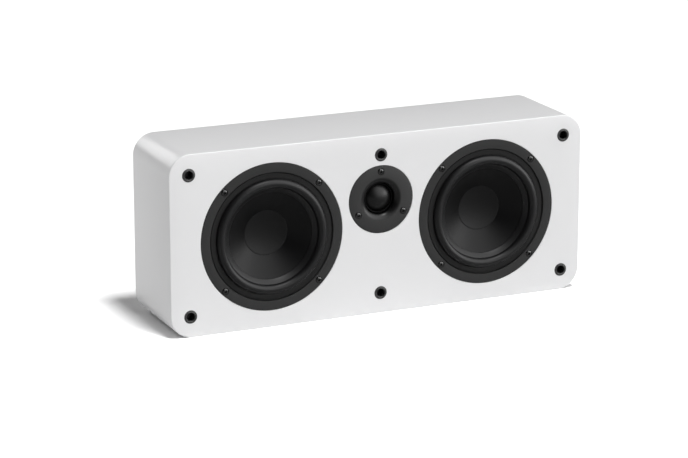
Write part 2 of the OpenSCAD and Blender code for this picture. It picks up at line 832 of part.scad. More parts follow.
// Wavy cloth disc between the voice coil's former and the basket's shelf
module spider(x) {
    front = [for (i = [0:spider_steps]) [spider_wave_r(i), spider_depth(i)]];
    back = [for (i = [spider_steps:-1:0]) [spider_wave_r(i), spider_depth(i) + spider_t]];
    color([0.75, 0.62, 0.3])
        on_face(x, woofer_z)
            rotate_extrude()
                polygon(concat(
                    [[former_r, spider_flat_depth]],
                    front,
                    [[spider_r, spider_flat_depth], [spider_r, spider_flat_depth + spider_t]],
                    back,
                    [[former_r, spider_flat_depth + spider_t]]
                ));
}

function spider_wave_r(i) = spider_wave_in_r + (spider_wave_out_r - spider_wave_in_r) * i / spider_steps;
function spider_depth(i) = spider_flat_depth - spider_wave_h * sin(360 * spider_waves * i / spider_steps);

module voice_coil(x) {
    color(COPPER)
        on_face(x, woofer_z)
            rotate_extrude() {
                translate([former_in_r, former_depth])
                    square([former_t, coil_end_depth - former_depth]);
                translate([former_r, coil_end_depth - winding_l])
                    square([winding_t, winding_l]);
            }
}

module top_plate(x) {
    color(STEEL)
        on_face(x, woofer_z)
            washer(top_plate_r, gap_r, top_plate_depth, magnet_depth);
}

module magnet(x) {
    color(CHARCOAL)
        on_face(x, woofer_z)
            washer(magnet_r, magnet_in_r, magnet_depth, yoke_depth);
}

module yoke(x) {
    color(STEEL)
        on_face(x, woofer_z)
            vented_yoke(yoke_r, pole_r, vent_r, top_plate_depth, yoke_depth, woofer_depth);
}

module vented_yoke(plate_out_r, post_r, hole_r, front, plate_front, back) {
    difference() {
        union() {
            translate([0, 0, front])
                cylinder(h = back - front, r = post_r);
            translate([0, 0, plate_front])
                cylinder(h = back - plate_front, r = plate_out_r);
        }
        translate([0, 0, front - cut])
            cylinder(h = back - front + 2 * cut, r = hole_r);
    }
}

// Tag board on the back of the spider's shelf, on the side towards the cabinet's middle
module woofer_terminals(side) {
    color([0.55, 0.4, 0.25])
        on_face(side * woofer_x, woofer_z, shelf_back_depth)
            rotate([0, 0, side > 0 ? 180 : 0]) {
                translate([tag_board_in_r, -tag_board_w / 2, 0])
                    cube([tag_board_l, tag_board_w, tag_board_t]);
                for (k = [-1, 1])
                    translate([tag_mid_r - tag_w / 2, k * tag_pitch / 2 - tag_w / 2, tag_board_t / 2])
                        cube([tag_w, tag_w, tag_board_t / 2 + tag_t]);
            }
}

// A pan-headed screw with a cross recess, its head's seat at zero
module pan_screw(head_r, head_h, shank_r, l) {
    difference() {
        rotate_extrude($fn = 32)
            polygon([
                [0, -head_h],
                [head_r * head_flat_share, -head_h],
                [head_r, -head_h * head_side_share],
                [head_r, 0],
                [shank_r, 0],
                [shank_r, l - shank_r],
                [0, l],
            ]);
        for (a = [0, 90])
            rotate([0, 0, a])
                translate([-head_r * recess_share, -head_r * recess_w_share / 2, -head_h - cut])
                    cube([2 * head_r * recess_share, head_r * recess_w_share, head_h * recess_share + cut]);
    }
}

module woofer_screws() {
    color(BLACK)
        for (x = [-woofer_x, woofer_x])
            on_face(x, woofer_z, screw_seat_depth)
                at_woofer_screws() pan_screw(screw_head_r, screw_head_h, screw_r, screw_l);
}

// Tweeter

module at_tweeter_screws() {
    ring_of(tweeter_screw_count, tweeter_screw_ring_r, 90)
        children();
}

// Flush plate whose middle is a short horn round the dome
module tweeter_faceplate() {
    color(CHARCOAL)
        on_face(0, tweeter_z)
            difference() {
                rotate_extrude()
                    difference() {
                        polygon([
                            [throat_r, 0],
                            [plate_r - flange_edge, 0],
                            [plate_r, flange_edge],
                            [plate_r, plate_t],
                            [boss_r, plate_t],
                            [boss_r, boss_depth],
                            [throat_r, boss_depth],
                        ]);
                        difference() {
                            translate([0, -cut])
                                square([horn_r, horn_flare_r + cut]);
                            translate([horn_r, horn_flare_r])
                                circle(horn_flare_r, $fn = 180);
                        }
                    }
                at_tweeter_screws() flange_screw_hole(plate_t);
            }
}

// Thin half roll round the dome, with a lip clamped behind the plate
module tweeter_surround() {
    color(BLACK)
        on_face(0, tweeter_z)
            rotate_extrude() {
                translate([dome_roll_r, boss_depth])
                    intersection() {
                        difference() {
                            circle(dome_roll_w);
                            circle(dome_roll_w - cloth_t);
                        }
                        translate([-dome_roll_w, -dome_roll_w])
                            square([2 * dome_roll_w, dome_roll_w]);
                    }
                translate([dome_roll_out_r - cloth_t, boss_depth])
                    square([cloth_t + seat_gap + dome_lip_w, dome_lip_t]);
                translate([tweeter_former_r, boss_depth])
                    square([dome_r - tweeter_former_r + cloth_t, cloth_t]);
            }
}

module tweeter_dome() {
    color(BLACK)
        on_face(0, tweeter_z)
            rotate_extrude()
                intersection() {
                    translate([0, boss_depth - dome_h + dome_ball_r])
                        difference() {
                            circle(dome_ball_r, $fn = 180);
                            circle(dome_ball_r - cloth_t, $fn = 180);
                        }
                    translate([0, boss_depth - dome_h])
                        square([dome_r, dome_h]);
                }
}

module tweeter_voice_coil() {
    color(COPPER)
        on_face(0, tweeter_z)
            rotate_extrude() {
                translate([tweeter_former_in_r, boss_depth])
                    square([tweeter_former_r - tweeter_former_in_r, tweeter_coil_end_depth - boss_depth]);
                translate([tweeter_former_r, tweeter_coil_end_depth - tweeter_winding_l])
                    square([tweeter_winding_t, tweeter_winding_l]);
            }
}

module tweeter_top_plate() {
    color(STEEL)
        on_face(0, tweeter_z)
            washer(tweeter_top_r, tweeter_gap_r, tweeter_top_depth, tweeter_magnet_depth);
}

module tweeter_magnet() {
    color(CHARCOAL)
        on_face(0, tweeter_z)
            washer(tweeter_magnet_r, tweeter_magnet_in_r, tweeter_magnet_depth, tweeter_yoke_depth);
}

module tweeter_yoke() {
    color(STEEL)
        on_face(0, tweeter_z)
            vented_yoke(tweeter_top_r, tweeter_pole_r, tweeter_vent_r, tweeter_top_depth, tweeter_yoke_depth,
                tweeter_yoke_depth + tweeter_yoke_t);
}

// Tag board behind the plate's boss, below the magnet
module tweeter_terminals() {
    color([0.55, 0.4, 0.25])
        on_face(0, tweeter_z, boss_depth)
            translate([0, tweeter_tag_r, 0]) {
                translate([-tweeter_tag_board_w / 2, -tag_board_t / 2, 0])
                    cube([tweeter_tag_board_w, tag_board_t, tweeter_tag_board_l]);
                for (k = [-1, 1])
                    translate([k * tweeter_tag_pitch / 2 - tag_w / 2, -tag_t / 2, tweeter_tag_board_l / 2])
                        cube([tag_w, tag_t, tweeter_tag_board_l / 2 + tag_w]);
            }
}

module tweeter_screws() {
    color(BLACK)
        on_face(0, tweeter_z, screw_seat_depth)
            at_tweeter_screws() pan_screw(screw_head_r, screw_head_h, screw_r, screw_l);
}

// Crossover

module at_board_screws() {
    for (x = [-1, 1], y = [-1, 1])
        translate([x * (board_w / 2 - board_screw_inset), y * (board_h / 2 - board_screw_inset), 0])
            children();
}

module on_board(x_share, z_share) {
    on_face(x_share * board_w, board_z + z_share * board_h, board_depth)
        children();
}

module crossover_board() {
    color([0.2, 0.42, 0.25])
        on_face(0, board_z, board_depth)
            linear_extrude(board_t)
                difference() {
                    square([board_w, board_h], center = true);
                    at_board_screws() circle(small_screw_r + seat_gap, $fn = 32);
                }
}

module crossover_spacers() {
    color([0.9, 0.9, 0.88])
        on_face(0, board_z, board_back_depth)
            at_board_screws() washer(spacer_r, small_screw_r + seat_gap, 0, spacer_l);
}

module crossover_screws() {
    color(STEEL)
        on_face(0, board_z, board_depth)
            at_board_screws()
                pan_screw(small_head_r, small_head_h, small_screw_r, board_t + spacer_l + small_screw_reach);
}

// A wire coil on a flanged bobbin that stands on the board
module bobbin_coil(r, h) {
    translate([0, 0, -h])
        difference() {
            union() {
                cylinder(h = bobbin_flange_t, r = r);
                cylinder(h = h, r = r * bobbin_winding_share);
                translate([0, 0, h - bobbin_flange_t])
                    cylinder(h = bobbin_flange_t, r = r);
            }
            translate([0, 0, -cut])
                cylinder(h = h + 2 * cut, r = r * bobbin_hole_share);
        }
}

// Two bare leads along X that bend down to the board, for a body of a given length and lift
module axial_leads(l, lift) {
    half = l / 2 + lead_run;
    translate([-half, 0, -lift])
        rotate([0, 90, 0])
            cylinder(h = 2 * half, r = lead_r, $fn = 24);
    for (side = [-1, 1])
        translate([side * half, 0, -lift]) {
            sphere(r = lead_r, $fn = 24);
            cylinder(h = lift, r = lead_r, $fn = 24);
        }
}

module can(r, l) {
    axial_leads(l, r + seat_gap);
    translate([-l / 2, 0, -r - seat_gap])
        rotate([0, 90, 0])
            cylinder(h = l, r = r);
}

module woofer_inductor() {
    color(COPPER)
        on_board(big_coil_share[0], big_coil_share[1]) bobbin_coil(big_coil_r, big_coil_h);
}

module tweeter_inductor() {
    color(COPPER)
        on_board(small_coil_share[0], small_coil_share[1]) bobbin_coil(small_coil_r, small_coil_h);
}

module woofer_capacitor() {
    color([0.15, 0.2, 0.45])
        on_board(0, big_can_share) can(big_can_r, big_can_l);
}

module tweeter_capacitor() {
    color([0.8, 0.65, 0.15])
        on_board(0, small_can_share) can(small_can_r, small_can_l);
}

module tweeter_resistor() {
    color([0.9, 0.88, 0.82])
        on_board(0, resistor_share) {
            axial_leads(resistor_l, resistor_w / 2 + seat_gap);
            translate([-resistor_l / 2, -resistor_w / 2, -resistor_w - seat_gap])
                cube([resistor_l, resistor_w, resistor_w]);
        }
}

// Terminals

// Frame on the cabinet's back: local Z runs in towards the front, local Y runs up
module on_back(x, z) {
    translate([x, front_y + cabinet_d, z])
        rotate([90, 0, 0])
            children();
}

module at_posts() {
    for (side = [-1, 1])
        on_face(side * post_pitch / 2, cup_z)
            children();
}

module at_cup_screws() {
    for (x = [-1, 1], y = [-1, 1])
        translate([x * cup_screw_spot, y * cup_screw_spot, 0])
            children();
}

// A flush screw's shape, and the seat it needs when made a little larger
module flat_screw(head_r, shank_r, l) {
    rotate_extrude($fn = 32)
        polygon([
            [0, 0],
            [head_r, 0],
            [shank_r, head_r - shank_r],
            [shank_r, l - shank_r],
            [0, l],
        ]);
}

module cross_headed_flat_screw() {
    difference() {
        flat_screw(small_head_r, small_screw_r, small_screw_reach);
        for (a = [0, 90])
            rotate([0, 0, a])
                translate([-small_head_r * recess_share, -small_head_r * recess_w_share / 2, -cut])
                    cube([2 * small_head_r * recess_share, small_head_r * recess_w_share,
                        small_head_r * recess_share / 2 + cut]);
    }
}

module flat_screw_hole(thickness) {
    translate([0, 0, -cut])
        cylinder(h = thickness + 2 * cut, r = small_screw_r + fit_gap);
    rotate_extrude($fn = 32)
        polygon([
            [0, -cut],
            [small_head_r + fit_gap + cut, -cut],
            [small_screw_r + fit_gap, small_head_r - small_screw_r],
            [0, small_head_r - small_screw_r],
        ]);
}

// Square flush flange round a tapered dish, with a boss under each post
module terminal_cup() {
    color(BLACK)
        difference() {
            union() {
                difference() {
                    union() {
                        on_back(0, cup_z)
                            linear_extrude(cup_t)
                                rounded_outline(cup_w, cup_w, cup_corner_r);
                        on_face(0, cup_z)
                            rotate_extrude()
                                polygon([
                                    [0, cup_floor_depth],
                                    [dish_floor_r + cup_t, cup_floor_depth],
                                    [cup_body_r, cabinet_d - cup_t],
                                    [0, cabinet_d - cup_t],
                                ]);
                    }
                    on_face(0, cup_z)
                        rotate_extrude()
                            polygon([
                                [0, dish_floor_depth],
                                [dish_floor_r, dish_floor_depth],
                                [dish_r, cabinet_d],
                                [dish_r, cabinet_d + cut],
                                [0, cabinet_d + cut],
                            ]);
                }
                at_posts()
                    translate([0, 0, cup_floor_depth])
                        cylinder(h = post_boss_depth - cup_floor_depth, r = collar_r);
            }
            at_posts()
                translate([0, 0, cup_floor_depth - cut])
                    cylinder(h = dish_depth, r = stud_r + fit_gap);
            on_back(0, cup_z)
                at_cup_screws() flat_screw_hole(cup_t);
        }
}

module terminal_cup_screws() {
    color(BLACK)
        on_back(0, cup_z)
            at_cup_screws() cross_headed_flat_screw();
}

// Threaded stud with a collar and a cross hole for a bare wire
module binding_posts() {
    color(BRASS)
        at_posts()
            difference() {
                union() {
                    translate([0, 0, stud_start_depth])
                        cylinder(h = stud_end_depth - stud_start_depth, r = stud_r);
                    translate([0, 0, post_boss_depth])
                        cylinder(h = collar_h, r = collar_r);
                }
                translate([-collar_r, 0, collar_depth + seat_gap + wire_hole_r])
                    rotate([0, 90, 0])
                        cylinder(h = 2 * collar_r, r = wire_hole_r, $fn = 32);
            }
}

module post_nuts() {
    color(BRASS)
        at_posts()
            translate([0, 0, nut_depth])
                difference() {
                    cylinder(h = nut_t, r = nut_r, $fn = 6);
                    translate([0, 0, -cut])
                        cylinder(h = nut_t + 2 * cut, r = stud_r + thread_gap);
                }
}

module clamp_washer(side) {
    color(BRASS)
        on_face(side * post_pitch / 2, cup_z)
            washer(washer_r, stud_r + fit_gap, collar_depth, washer_depth);
}

// Grooved cap that turns on the stud's thread
module post_cap(side, shade) {
    color(shade)
        on_face(side * post_pitch / 2, cup_z, washer_depth)
            difference() {
                rotate_extrude()
                    polygon([
                        [0, 0],
                        [knob_r, 0],
                        [knob_r, knob_h - knob_groove_r],
                        [knob_r - knob_groove_r, knob_h],
                        [0, knob_h],
                    ]);
                translate([0, 0, -cut])
                    cylinder(h = knob_h - knob_end_t + cut, r = stud_r + fit_gap);
                ring_of(knob_grooves, knob_r + knob_groove_r / 2)
                    translate([0, 0, knob_groove_r])
                        cylinder(h = knob_h, r = knob_groove_r, $fn = 24);
            }
}

// Wall hangers

module at_hanger_screws() {
    for (side = [-1, 1])
        translate([0, side * hanger_screw_spot, 0])
            children();
}

// Plate with a keyhole: its round entry is below and its slot runs up
module hanger_plates() {
    color(STEEL)
        for (x = [-hanger_x, hanger_x])
            on_back(x, hanger_z)
                difference() {
                    linear_extrude(hanger_t)
                        difference() {
                            rounded_outline(hanger_w, hanger_h, hanger_corner_r);
                            translate([0, -keyhole_l / 2])
                                circle(keyhole_r);
                            square([2 * keyhole_slot_r, keyhole_l], center = true);
                            translate([0, keyhole_l / 2])
                                circle(keyhole_slot_r);
                        }
                    at_hanger_screws() flat_screw_hole(hanger_t);
                }
}

module hanger_screws() {
    color(STEEL)
        for (x = [-hanger_x, hanger_x])
            on_back(x, hanger_z)
                at_hanger_screws() cross_headed_flat_screw();
}

// Inner wiring

// A wire that leaves one point, and reaches another, along the given directions
module wire(start, start_way, end, end_way) {
    p = [start, start + wire_slack * start_way, end + wire_slack * end_way, end];
    rings = [
        for (i = [0:wire_steps])
            wire_ring(curve_point(p, i / wire_steps), curve_way(p, i / wire_steps))
    ];
    points = [for (ring = rings, q = ring) q];
    sides = [
        for (i = [0:wire_steps - 1], k = [0:wire_sides - 1])
            let (a = i * wire_sides, b = a + wire_sides, next = (k + 1) % wire_sides)
                [a + k, a + next, b + next, b + k]
    ];
    near_end = [for (k = [wire_sides - 1:-1:0]) k];
    far_end = [for (k = [0:wire_sides - 1]) wire_steps * wire_sides + k];
    polyhedron(points, concat(sides, [near_end, far_end]));
}

function curve_point(p, t) =
    p[0] * pow(1 - t, 3) + 3 * p[1] * t * pow(1 - t, 2) + 3 * p[2] * t * t * (1 - t) + p[3] * pow(t, 3);

function curve_way(p, t) =
    unit((p[1] - p[0]) * pow(1 - t, 2) + 2 * (p[2] - p[1]) * t * (1 - t) + (p[3] - p[2]) * t * t);

function unit(v) = v / norm(v);

function wire_ring(centre, way) =
    let (u = unit(cross(way, wire_side_way)), v = cross(way, u))
        [for (k = [0:wire_sides - 1])
            centre + wire_r * (u * cos(360 * k / wire_sides) + v * sin(360 * k / wire_sides))];

function at_depth(x, z, depth) = [x, front_y + depth, z];

module input_wires() {
    color("firebrick")
        for (side = [-1, 1])
            wire(at_depth(side * post_pitch / 2, cup_z, stud_start_depth), [0, -1, 0],
                at_depth(side * input_pad_share[0] * board_w, board_z + input_pad_share[1] * board_h,
                    board_depth), [0, -1, 0]);
}

module woofer_wires() {
    color("firebrick")
        for (side = [-1, 1], k = [-1, 1])
            wire(at_depth(side * (woofer_x - tag_mid_r), woofer_z + k * tag_pitch / 2,
                    shelf_back_depth + tag_board_t + tag_t), [0, 1, 0],
                at_depth(side * woofer_pad_share[0] * board_w,
                    board_z + (woofer_pad_share[1] + k * pad_step_share) * board_h, board_depth), [0, -1, 0]);
}

module tweeter_wires() {
    color("firebrick")
        for (k = [-1, 1])
            wire(at_depth(k * tweeter_tag_pitch / 2, tweeter_z - tweeter_tag_r,
                    boss_depth + tweeter_tag_board_l + tag_w), [0, 1, 0],
                at_depth((tweeter_pad_share[0] + k * pad_step_share) * board_w,
                    board_z + tweeter_pad_share[1] * board_h, board_depth), [0, -1, 0]);
}

cabinet_sleeve();
front_baffle();
rear_panel();
cabinet_braces();
wadding();
grille_sockets();
basket(-woofer_x);  // woofer_left_basket
clamp_ring(-woofer_x);  // woofer_left_clamp_ring
surround(-woofer_x);  // woofer_left_surround
cone(-woofer_x);  // woofer_left_cone
dust_cap(-woofer_x);  // woofer_left_dust_cap
spider(-woofer_x);  // woofer_left_spider
voice_coil(-woofer_x);  // woofer_left_voice_coil
top_plate(-woofer_x);  // woofer_left_top_plate
magnet(-woofer_x);  // woofer_left_magnet
yoke(-woofer_x);  // woofer_left_yoke
woofer_terminals(-1);  // woofer_left_terminals
basket(woofer_x);  // woofer_right_basket
clamp_ring(woofer_x);  // woofer_right_clamp_ring
surround(woofer_x);  // woofer_right_surround
cone(woofer_x);  // woofer_right_cone
dust_cap(woofer_x);  // woofer_right_dust_cap
spider(woofer_x);  // woofer_right_spider
voice_coil(woofer_x);  // woofer_right_voice_coil
top_plate(woofer_x);  // woofer_right_top_plate
magnet(woofer_x);  // woofer_right_magnet
yoke(woofer_x);  // woofer_right_yoke
woofer_terminals(1);  // woofer_right_terminals
woofer_screws();
tweeter_faceplate();
tweeter_surround();
tweeter_dome();
tweeter_voice_coil();
tweeter_top_plate();
tweeter_magnet();
tweeter_yoke();
tweeter_terminals();
tweeter_screws();
crossover_board();
crossover_spacers();
crossover_screws();
woofer_inductor();
tweeter_inductor();
woofer_capacitor();
tweeter_capacitor();
tweeter_resistor();
terminal_cup();
terminal_cup_screws();
binding_posts();
post_nuts();
clamp_washer(1);  // red_clamp_washer
post_cap(1, "crimson");  // red_cap
clamp_washer(-1);  // black_clamp_washer
post_cap(-1, BLACK);  // black_cap
hanger_plates();
hanger_screws();
input_wires();
woofer_wires();
tweeter_wires();
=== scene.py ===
"""The looks of a white wall speaker with two cone woofers and a dome tweeter.

Every length in the part classes is in millimetres, as in the part's own drawing. Depths are
counted from the cabinet's front face towards the back. Meshes are made in metres.
"""

from __future__ import annotations

import json
import logging
import math
from dataclasses import dataclass, field
from enum import Enum
from typing import Callable, Iterable, Sequence

import bmesh
import bpy
from mathutils import Matrix, Vector
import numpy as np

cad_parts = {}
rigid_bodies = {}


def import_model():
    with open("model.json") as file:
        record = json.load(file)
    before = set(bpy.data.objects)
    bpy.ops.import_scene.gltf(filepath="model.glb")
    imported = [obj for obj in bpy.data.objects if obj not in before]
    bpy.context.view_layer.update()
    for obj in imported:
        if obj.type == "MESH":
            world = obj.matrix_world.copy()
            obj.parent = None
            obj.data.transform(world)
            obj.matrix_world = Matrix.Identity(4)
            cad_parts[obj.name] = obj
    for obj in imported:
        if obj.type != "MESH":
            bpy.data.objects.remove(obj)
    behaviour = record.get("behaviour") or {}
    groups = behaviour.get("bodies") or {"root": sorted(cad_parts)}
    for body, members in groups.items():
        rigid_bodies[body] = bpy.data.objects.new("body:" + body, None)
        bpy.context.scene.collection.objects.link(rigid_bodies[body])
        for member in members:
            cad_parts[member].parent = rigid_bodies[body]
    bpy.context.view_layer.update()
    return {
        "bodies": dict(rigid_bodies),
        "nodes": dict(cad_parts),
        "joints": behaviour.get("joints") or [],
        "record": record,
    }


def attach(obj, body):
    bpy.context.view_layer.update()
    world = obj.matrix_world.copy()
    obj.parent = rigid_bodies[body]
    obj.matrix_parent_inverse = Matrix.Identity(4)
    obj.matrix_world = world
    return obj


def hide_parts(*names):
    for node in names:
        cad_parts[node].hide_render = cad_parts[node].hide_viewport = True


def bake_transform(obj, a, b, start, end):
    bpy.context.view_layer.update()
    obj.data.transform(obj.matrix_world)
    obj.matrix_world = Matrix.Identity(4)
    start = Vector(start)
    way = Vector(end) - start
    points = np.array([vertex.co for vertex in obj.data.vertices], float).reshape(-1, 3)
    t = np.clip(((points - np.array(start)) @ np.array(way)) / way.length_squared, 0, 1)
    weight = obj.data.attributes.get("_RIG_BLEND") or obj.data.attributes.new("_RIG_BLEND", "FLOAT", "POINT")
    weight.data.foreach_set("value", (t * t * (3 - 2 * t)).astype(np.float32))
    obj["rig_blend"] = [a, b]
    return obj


LOG = logging.getLogger("wall_speaker")

MM = 0.001
FRONT_Y = -49.325
CABINET_DEPTH = 102.0
MIDDLE_Z = 92.5

Point2 = tuple[float, float]
Colour = tuple[float, float, float]
Ring = list[bmesh.types.BMVert]


# Finishes


class Pattern(Enum):
    """The kinds of fine detail that a surface can show."""

    PEEL = "lacquer peel"
    GRAIN = "fine grain"
    SKIN = "rubber skin"
    TURNED = "turned metal"
    BRUSHED = "brushed metal"
    WEAVE = "woven cloth"
    WINDING = "wound wire"
    FIBRE = "pressed fibre"


class NodeKit:
    """Shader node groups that more than one finish uses, and the finishes, each built once."""

    def __init__(self) -> None:
        """Starts with nothing built."""
        self._built: dict[str, bpy.types.NodeTree] = {}
        self.finishes: dict[str, bpy.types.Material] = {}

    @staticmethod
    def _new(
        name: str,
        inputs: Sequence[tuple[str, str, float | tuple[float, ...]]],
        outputs: Sequence[tuple[str, str]],
    ) -> tuple[bpy.types.NodeTree, bpy.types.Node, bpy.types.Node]:
        """Makes an empty group with named sockets.

        Args:
            name: The group's name.
            inputs: Name, socket type and default of each input.
            outputs: Name and socket type of each output.

        Returns:
            The tree, its input node and its output node.
        """
        tree = bpy.data.node_groups.new(name, "ShaderNodeTree")
        for label, kind, default in inputs:
            socket = tree.interface.new_socket(label, in_out="INPUT", socket_type=kind)
            socket.default_value = default
        for label, kind in outputs:
            tree.interface.new_socket(label, in_out="OUTPUT", socket_type=kind)
        return tree, tree.nodes.new("NodeGroupInput"), tree.nodes.new("NodeGroupOutput")

    @staticmethod
    def _math(
        tree: bpy.types.NodeTree, operation: str, a: object, b: object = None
    ) -> bpy.types.NodeSocket:
        """Adds a Math node and returns its output.

        Args:
            tree: The tree to add it to.
            operation: The Math node's operation.
            a: A socket or number for the first value.
            b: A socket or number for the second value.

        Returns:
            The node's Value output.
        """
        node = tree.nodes.new("ShaderNodeMath")
        node.operation = operation
        for socket, value in zip(node.inputs, (a, b)):
            if isinstance(value, bpy.types.NodeSocket):
                tree.links.new(value, socket)
            elif value is not None:
                socket.default_value = value
        return node.outputs[0]

    def _noise(
        self, tree: bpy.types.NodeTree, scale: object, vector: bpy.types.NodeSocket, detail: float
    ) -> bpy.types.NodeSocket:
        """Adds a noise texture over the object's own coordinates and returns its value.

        Args:
            tree: The tree to add it to.
            scale: A socket or number for the frequency.
            vector: The coordinates that the noise is read at.
            detail: The noise's detail.

        Returns:
            The texture's output.
        """
        node = tree.nodes.new("ShaderNodeTexNoise")
        node.inputs["Detail"].default_value = detail
        node.inputs["Roughness"].default_value = 0.6
        if isinstance(scale, bpy.types.NodeSocket):
            tree.links.new(scale, node.inputs["Scale"])
        else:
            node.inputs["Scale"].default_value = scale
        tree.links.new(vector, node.inputs["Vector"])
        return node.outputs["Fac"]

    def get(self, pattern: Pattern) -> bpy.types.NodeTree:
        """Returns the group for a pattern, built at its first use.

        Args:
            pattern: The pattern wanted.

        Returns:
            The group, with inputs Scale, CentreX and CentreZ and outputs Mask, Height and Reach.
        """
        if pattern.name not in self._built:
            self._built[pattern.name] = self._pattern(pattern)
        return self._built[pattern.name]

    def _pattern(self, pattern: Pattern) -> bpy.types.NodeTree:
        """Builds one pattern's group.

        Args:
            pattern: The pattern to build.

        Returns:
            The group's tree.
        """
        tree, start, end = self._new(
            f"pattern_{pattern.name.lower()}",
            [
                ("Scale", "NodeSocketFloat", 1000.0),
                ("CentreX", "NodeSocketFloat", 0.0),
                ("CentreZ", "NodeSocketFloat", 0.0),
            ],
            [
                ("Mask", "NodeSocketFloat"), ("Height", "NodeSocketFloat"),
                ("Reach", "NodeSocketFloat")
            ],
        )
        place = tree.nodes.new("ShaderNodeTexCoord").outputs["Object"]
        parts = tree.nodes.new("ShaderNodeSeparateXYZ")
        tree.links.new(place, parts.inputs[0])
        x, y, z = parts.outputs
        scale = start.outputs["Scale"]
        right = self._math(tree, "SUBTRACT", x, start.outputs["CentreX"])
        up = self._math(tree, "SUBTRACT", z, start.outputs["CentreZ"])
        reach = self._math(
            tree,
            "SQRT",
            self._math(
                tree,
                "ADD",
                self._math(tree, "MULTIPLY", right, right),
                self._math(tree, "MULTIPLY", up, up),
            ),
        )
        broad = self._noise(tree, self._math(tree, "MULTIPLY", scale, 0.06), place, 2.0)
        fine = self._noise(tree, scale, place, 3.0)
        if pattern in (Pattern.GRAIN, Pattern.SKIN, Pattern.PEEL):
            height = fine
            share = {Pattern.GRAIN: 0.6, Pattern.SKIN: 0.35, Pattern.PEEL: 0.2}[pattern]
            mask = self._blend(tree, broad, fine, share)
        elif pattern is Pattern.TURNED:
            height = self._math(tree, "SINE", self._math(tree, "MULTIPLY", reach, scale))
            mask = self._blend(tree, fine, self._math(tree, "MULTIPLY_ADD", height, 0.5), 0.4)
        elif pattern is Pattern.BRUSHED:
            stretched = tree.nodes.new("ShaderNodeMapping")
            stretched.inputs["Scale"].default_value = (0.04, 1.0, 1.0)
            tree.links.new(place, stretched.inputs["Vector"])
            height = self._noise(tree, scale, stretched.outputs[0], 3.0)
            mask = self._blend(tree, broad, height, 0.6)
        elif pattern is Pattern.WEAVE:
            warp = self._math(tree, "SINE", self._math(tree, "MULTIPLY", x, scale))
            weft = self._math(tree, "SINE", self._math(tree, "MULTIPLY", z, scale))
            height = self._math(tree, "MULTIPLY", warp, weft)
            mask = self._blend(tree, broad, self._math(tree, "MULTIPLY_ADD", height, 0.5), 0.5)
        elif pattern is Pattern.WINDING:
            along = self._math(tree, "SINE", self._math(tree, "MULTIPLY", y, scale))
            height = self._math(tree, "ABSOLUTE", along)
            mask = self._blend(tree, broad, height, 0.6)
        else:
            cells = tree.nodes.new("ShaderNodeTexVoronoi")
            tree.links.new(scale, cells.inputs["Scale"])
            tree.links.new(place, cells.inputs["Vector"])
            height = cells.outputs["Distance"]
            mask = self._blend(tree, fine, height, 0.5)
        tree.links.new(mask, end.inputs["Mask"])
        tree.links.new(height, end.inputs["Height"])
        tree.links.new(reach, end.inputs["Reach"])
        return tree

    def _blend(
        self, tree: bpy.types.NodeTree, a: bpy.types.NodeSocket, b: bpy.types.NodeSocket,
        share: float
    ) -> bpy.types.NodeSocket:
        """Returns a times one minus share, plus b times share.

        Args:
            tree: The tree to add it to.
            a: The value at share zero.
            b: The value at share one.
            share: How much of the second value is taken, from 0 to 1.

        Returns:
            The sum's output.
        """
        return self._math(
            tree,
            "ADD",
            self._math(tree, "MULTIPLY", a, 1.0 - share),
            self._math(tree, "MULTIPLY", b, share),
        )

    def tint(self) -> bpy.types.NodeTree:
        """Returns the group that varies a colour and a roughness by a mask.

        Returns:
            The group's tree.
        """
        if "tint" in self._built:
            return self._built["tint"]
        tree, start, end = self._new(
            "tint",
            [
                ("Mask", "NodeSocketFloat", 0.5),
                ("Colour", "NodeSocketColor", (0.5, 0.5, 0.5, 1.0)),
                ("Spread", "NodeSocketFloat", 0.1),
                ("Roughness", "NodeSocketFloat", 0.5),
                ("Roughness Spread", "NodeSocketFloat", 0.1),
            ],
            [("Colour", "NodeSocketColor"), ("Roughness", "NodeSocketFloat")],
        )
        centred = self._math(tree, "SUBTRACT", start.outputs["Mask"], 0.5)
        gain = self._math(
            tree, "ADD", self._math(tree, "MULTIPLY", centred, start.outputs["Spread"]), 1.0
        )
        scaled = tree.nodes.new("ShaderNodeVectorMath")
        scaled.operation = "SCALE"
        tree.links.new(start.outputs["Colour"], scaled.inputs[0])
        tree.links.new(gain, scaled.inputs["Scale"])
        rough = self._math(
            tree,
            "ADD",
            self._math(tree, "MULTIPLY", centred, start.outputs["Roughness Spread"]),
            start.outputs["Roughness"],
        )
        tree.links.new(scaled.outputs[0], end.inputs["Colour"])
        tree.links.new(rough, end.inputs["Roughness"])
        self._built["tint"] = tree
        return tree


@dataclass(frozen=True)
class PaintedShadeCore:
    """A middle, fading in between two radii in millimetres, whose darker colour is painted shade and whose
    lower roughness is its own finish.
    """

    inner_r: float
    outer_r: float
    colour: Colour
    roughness: float


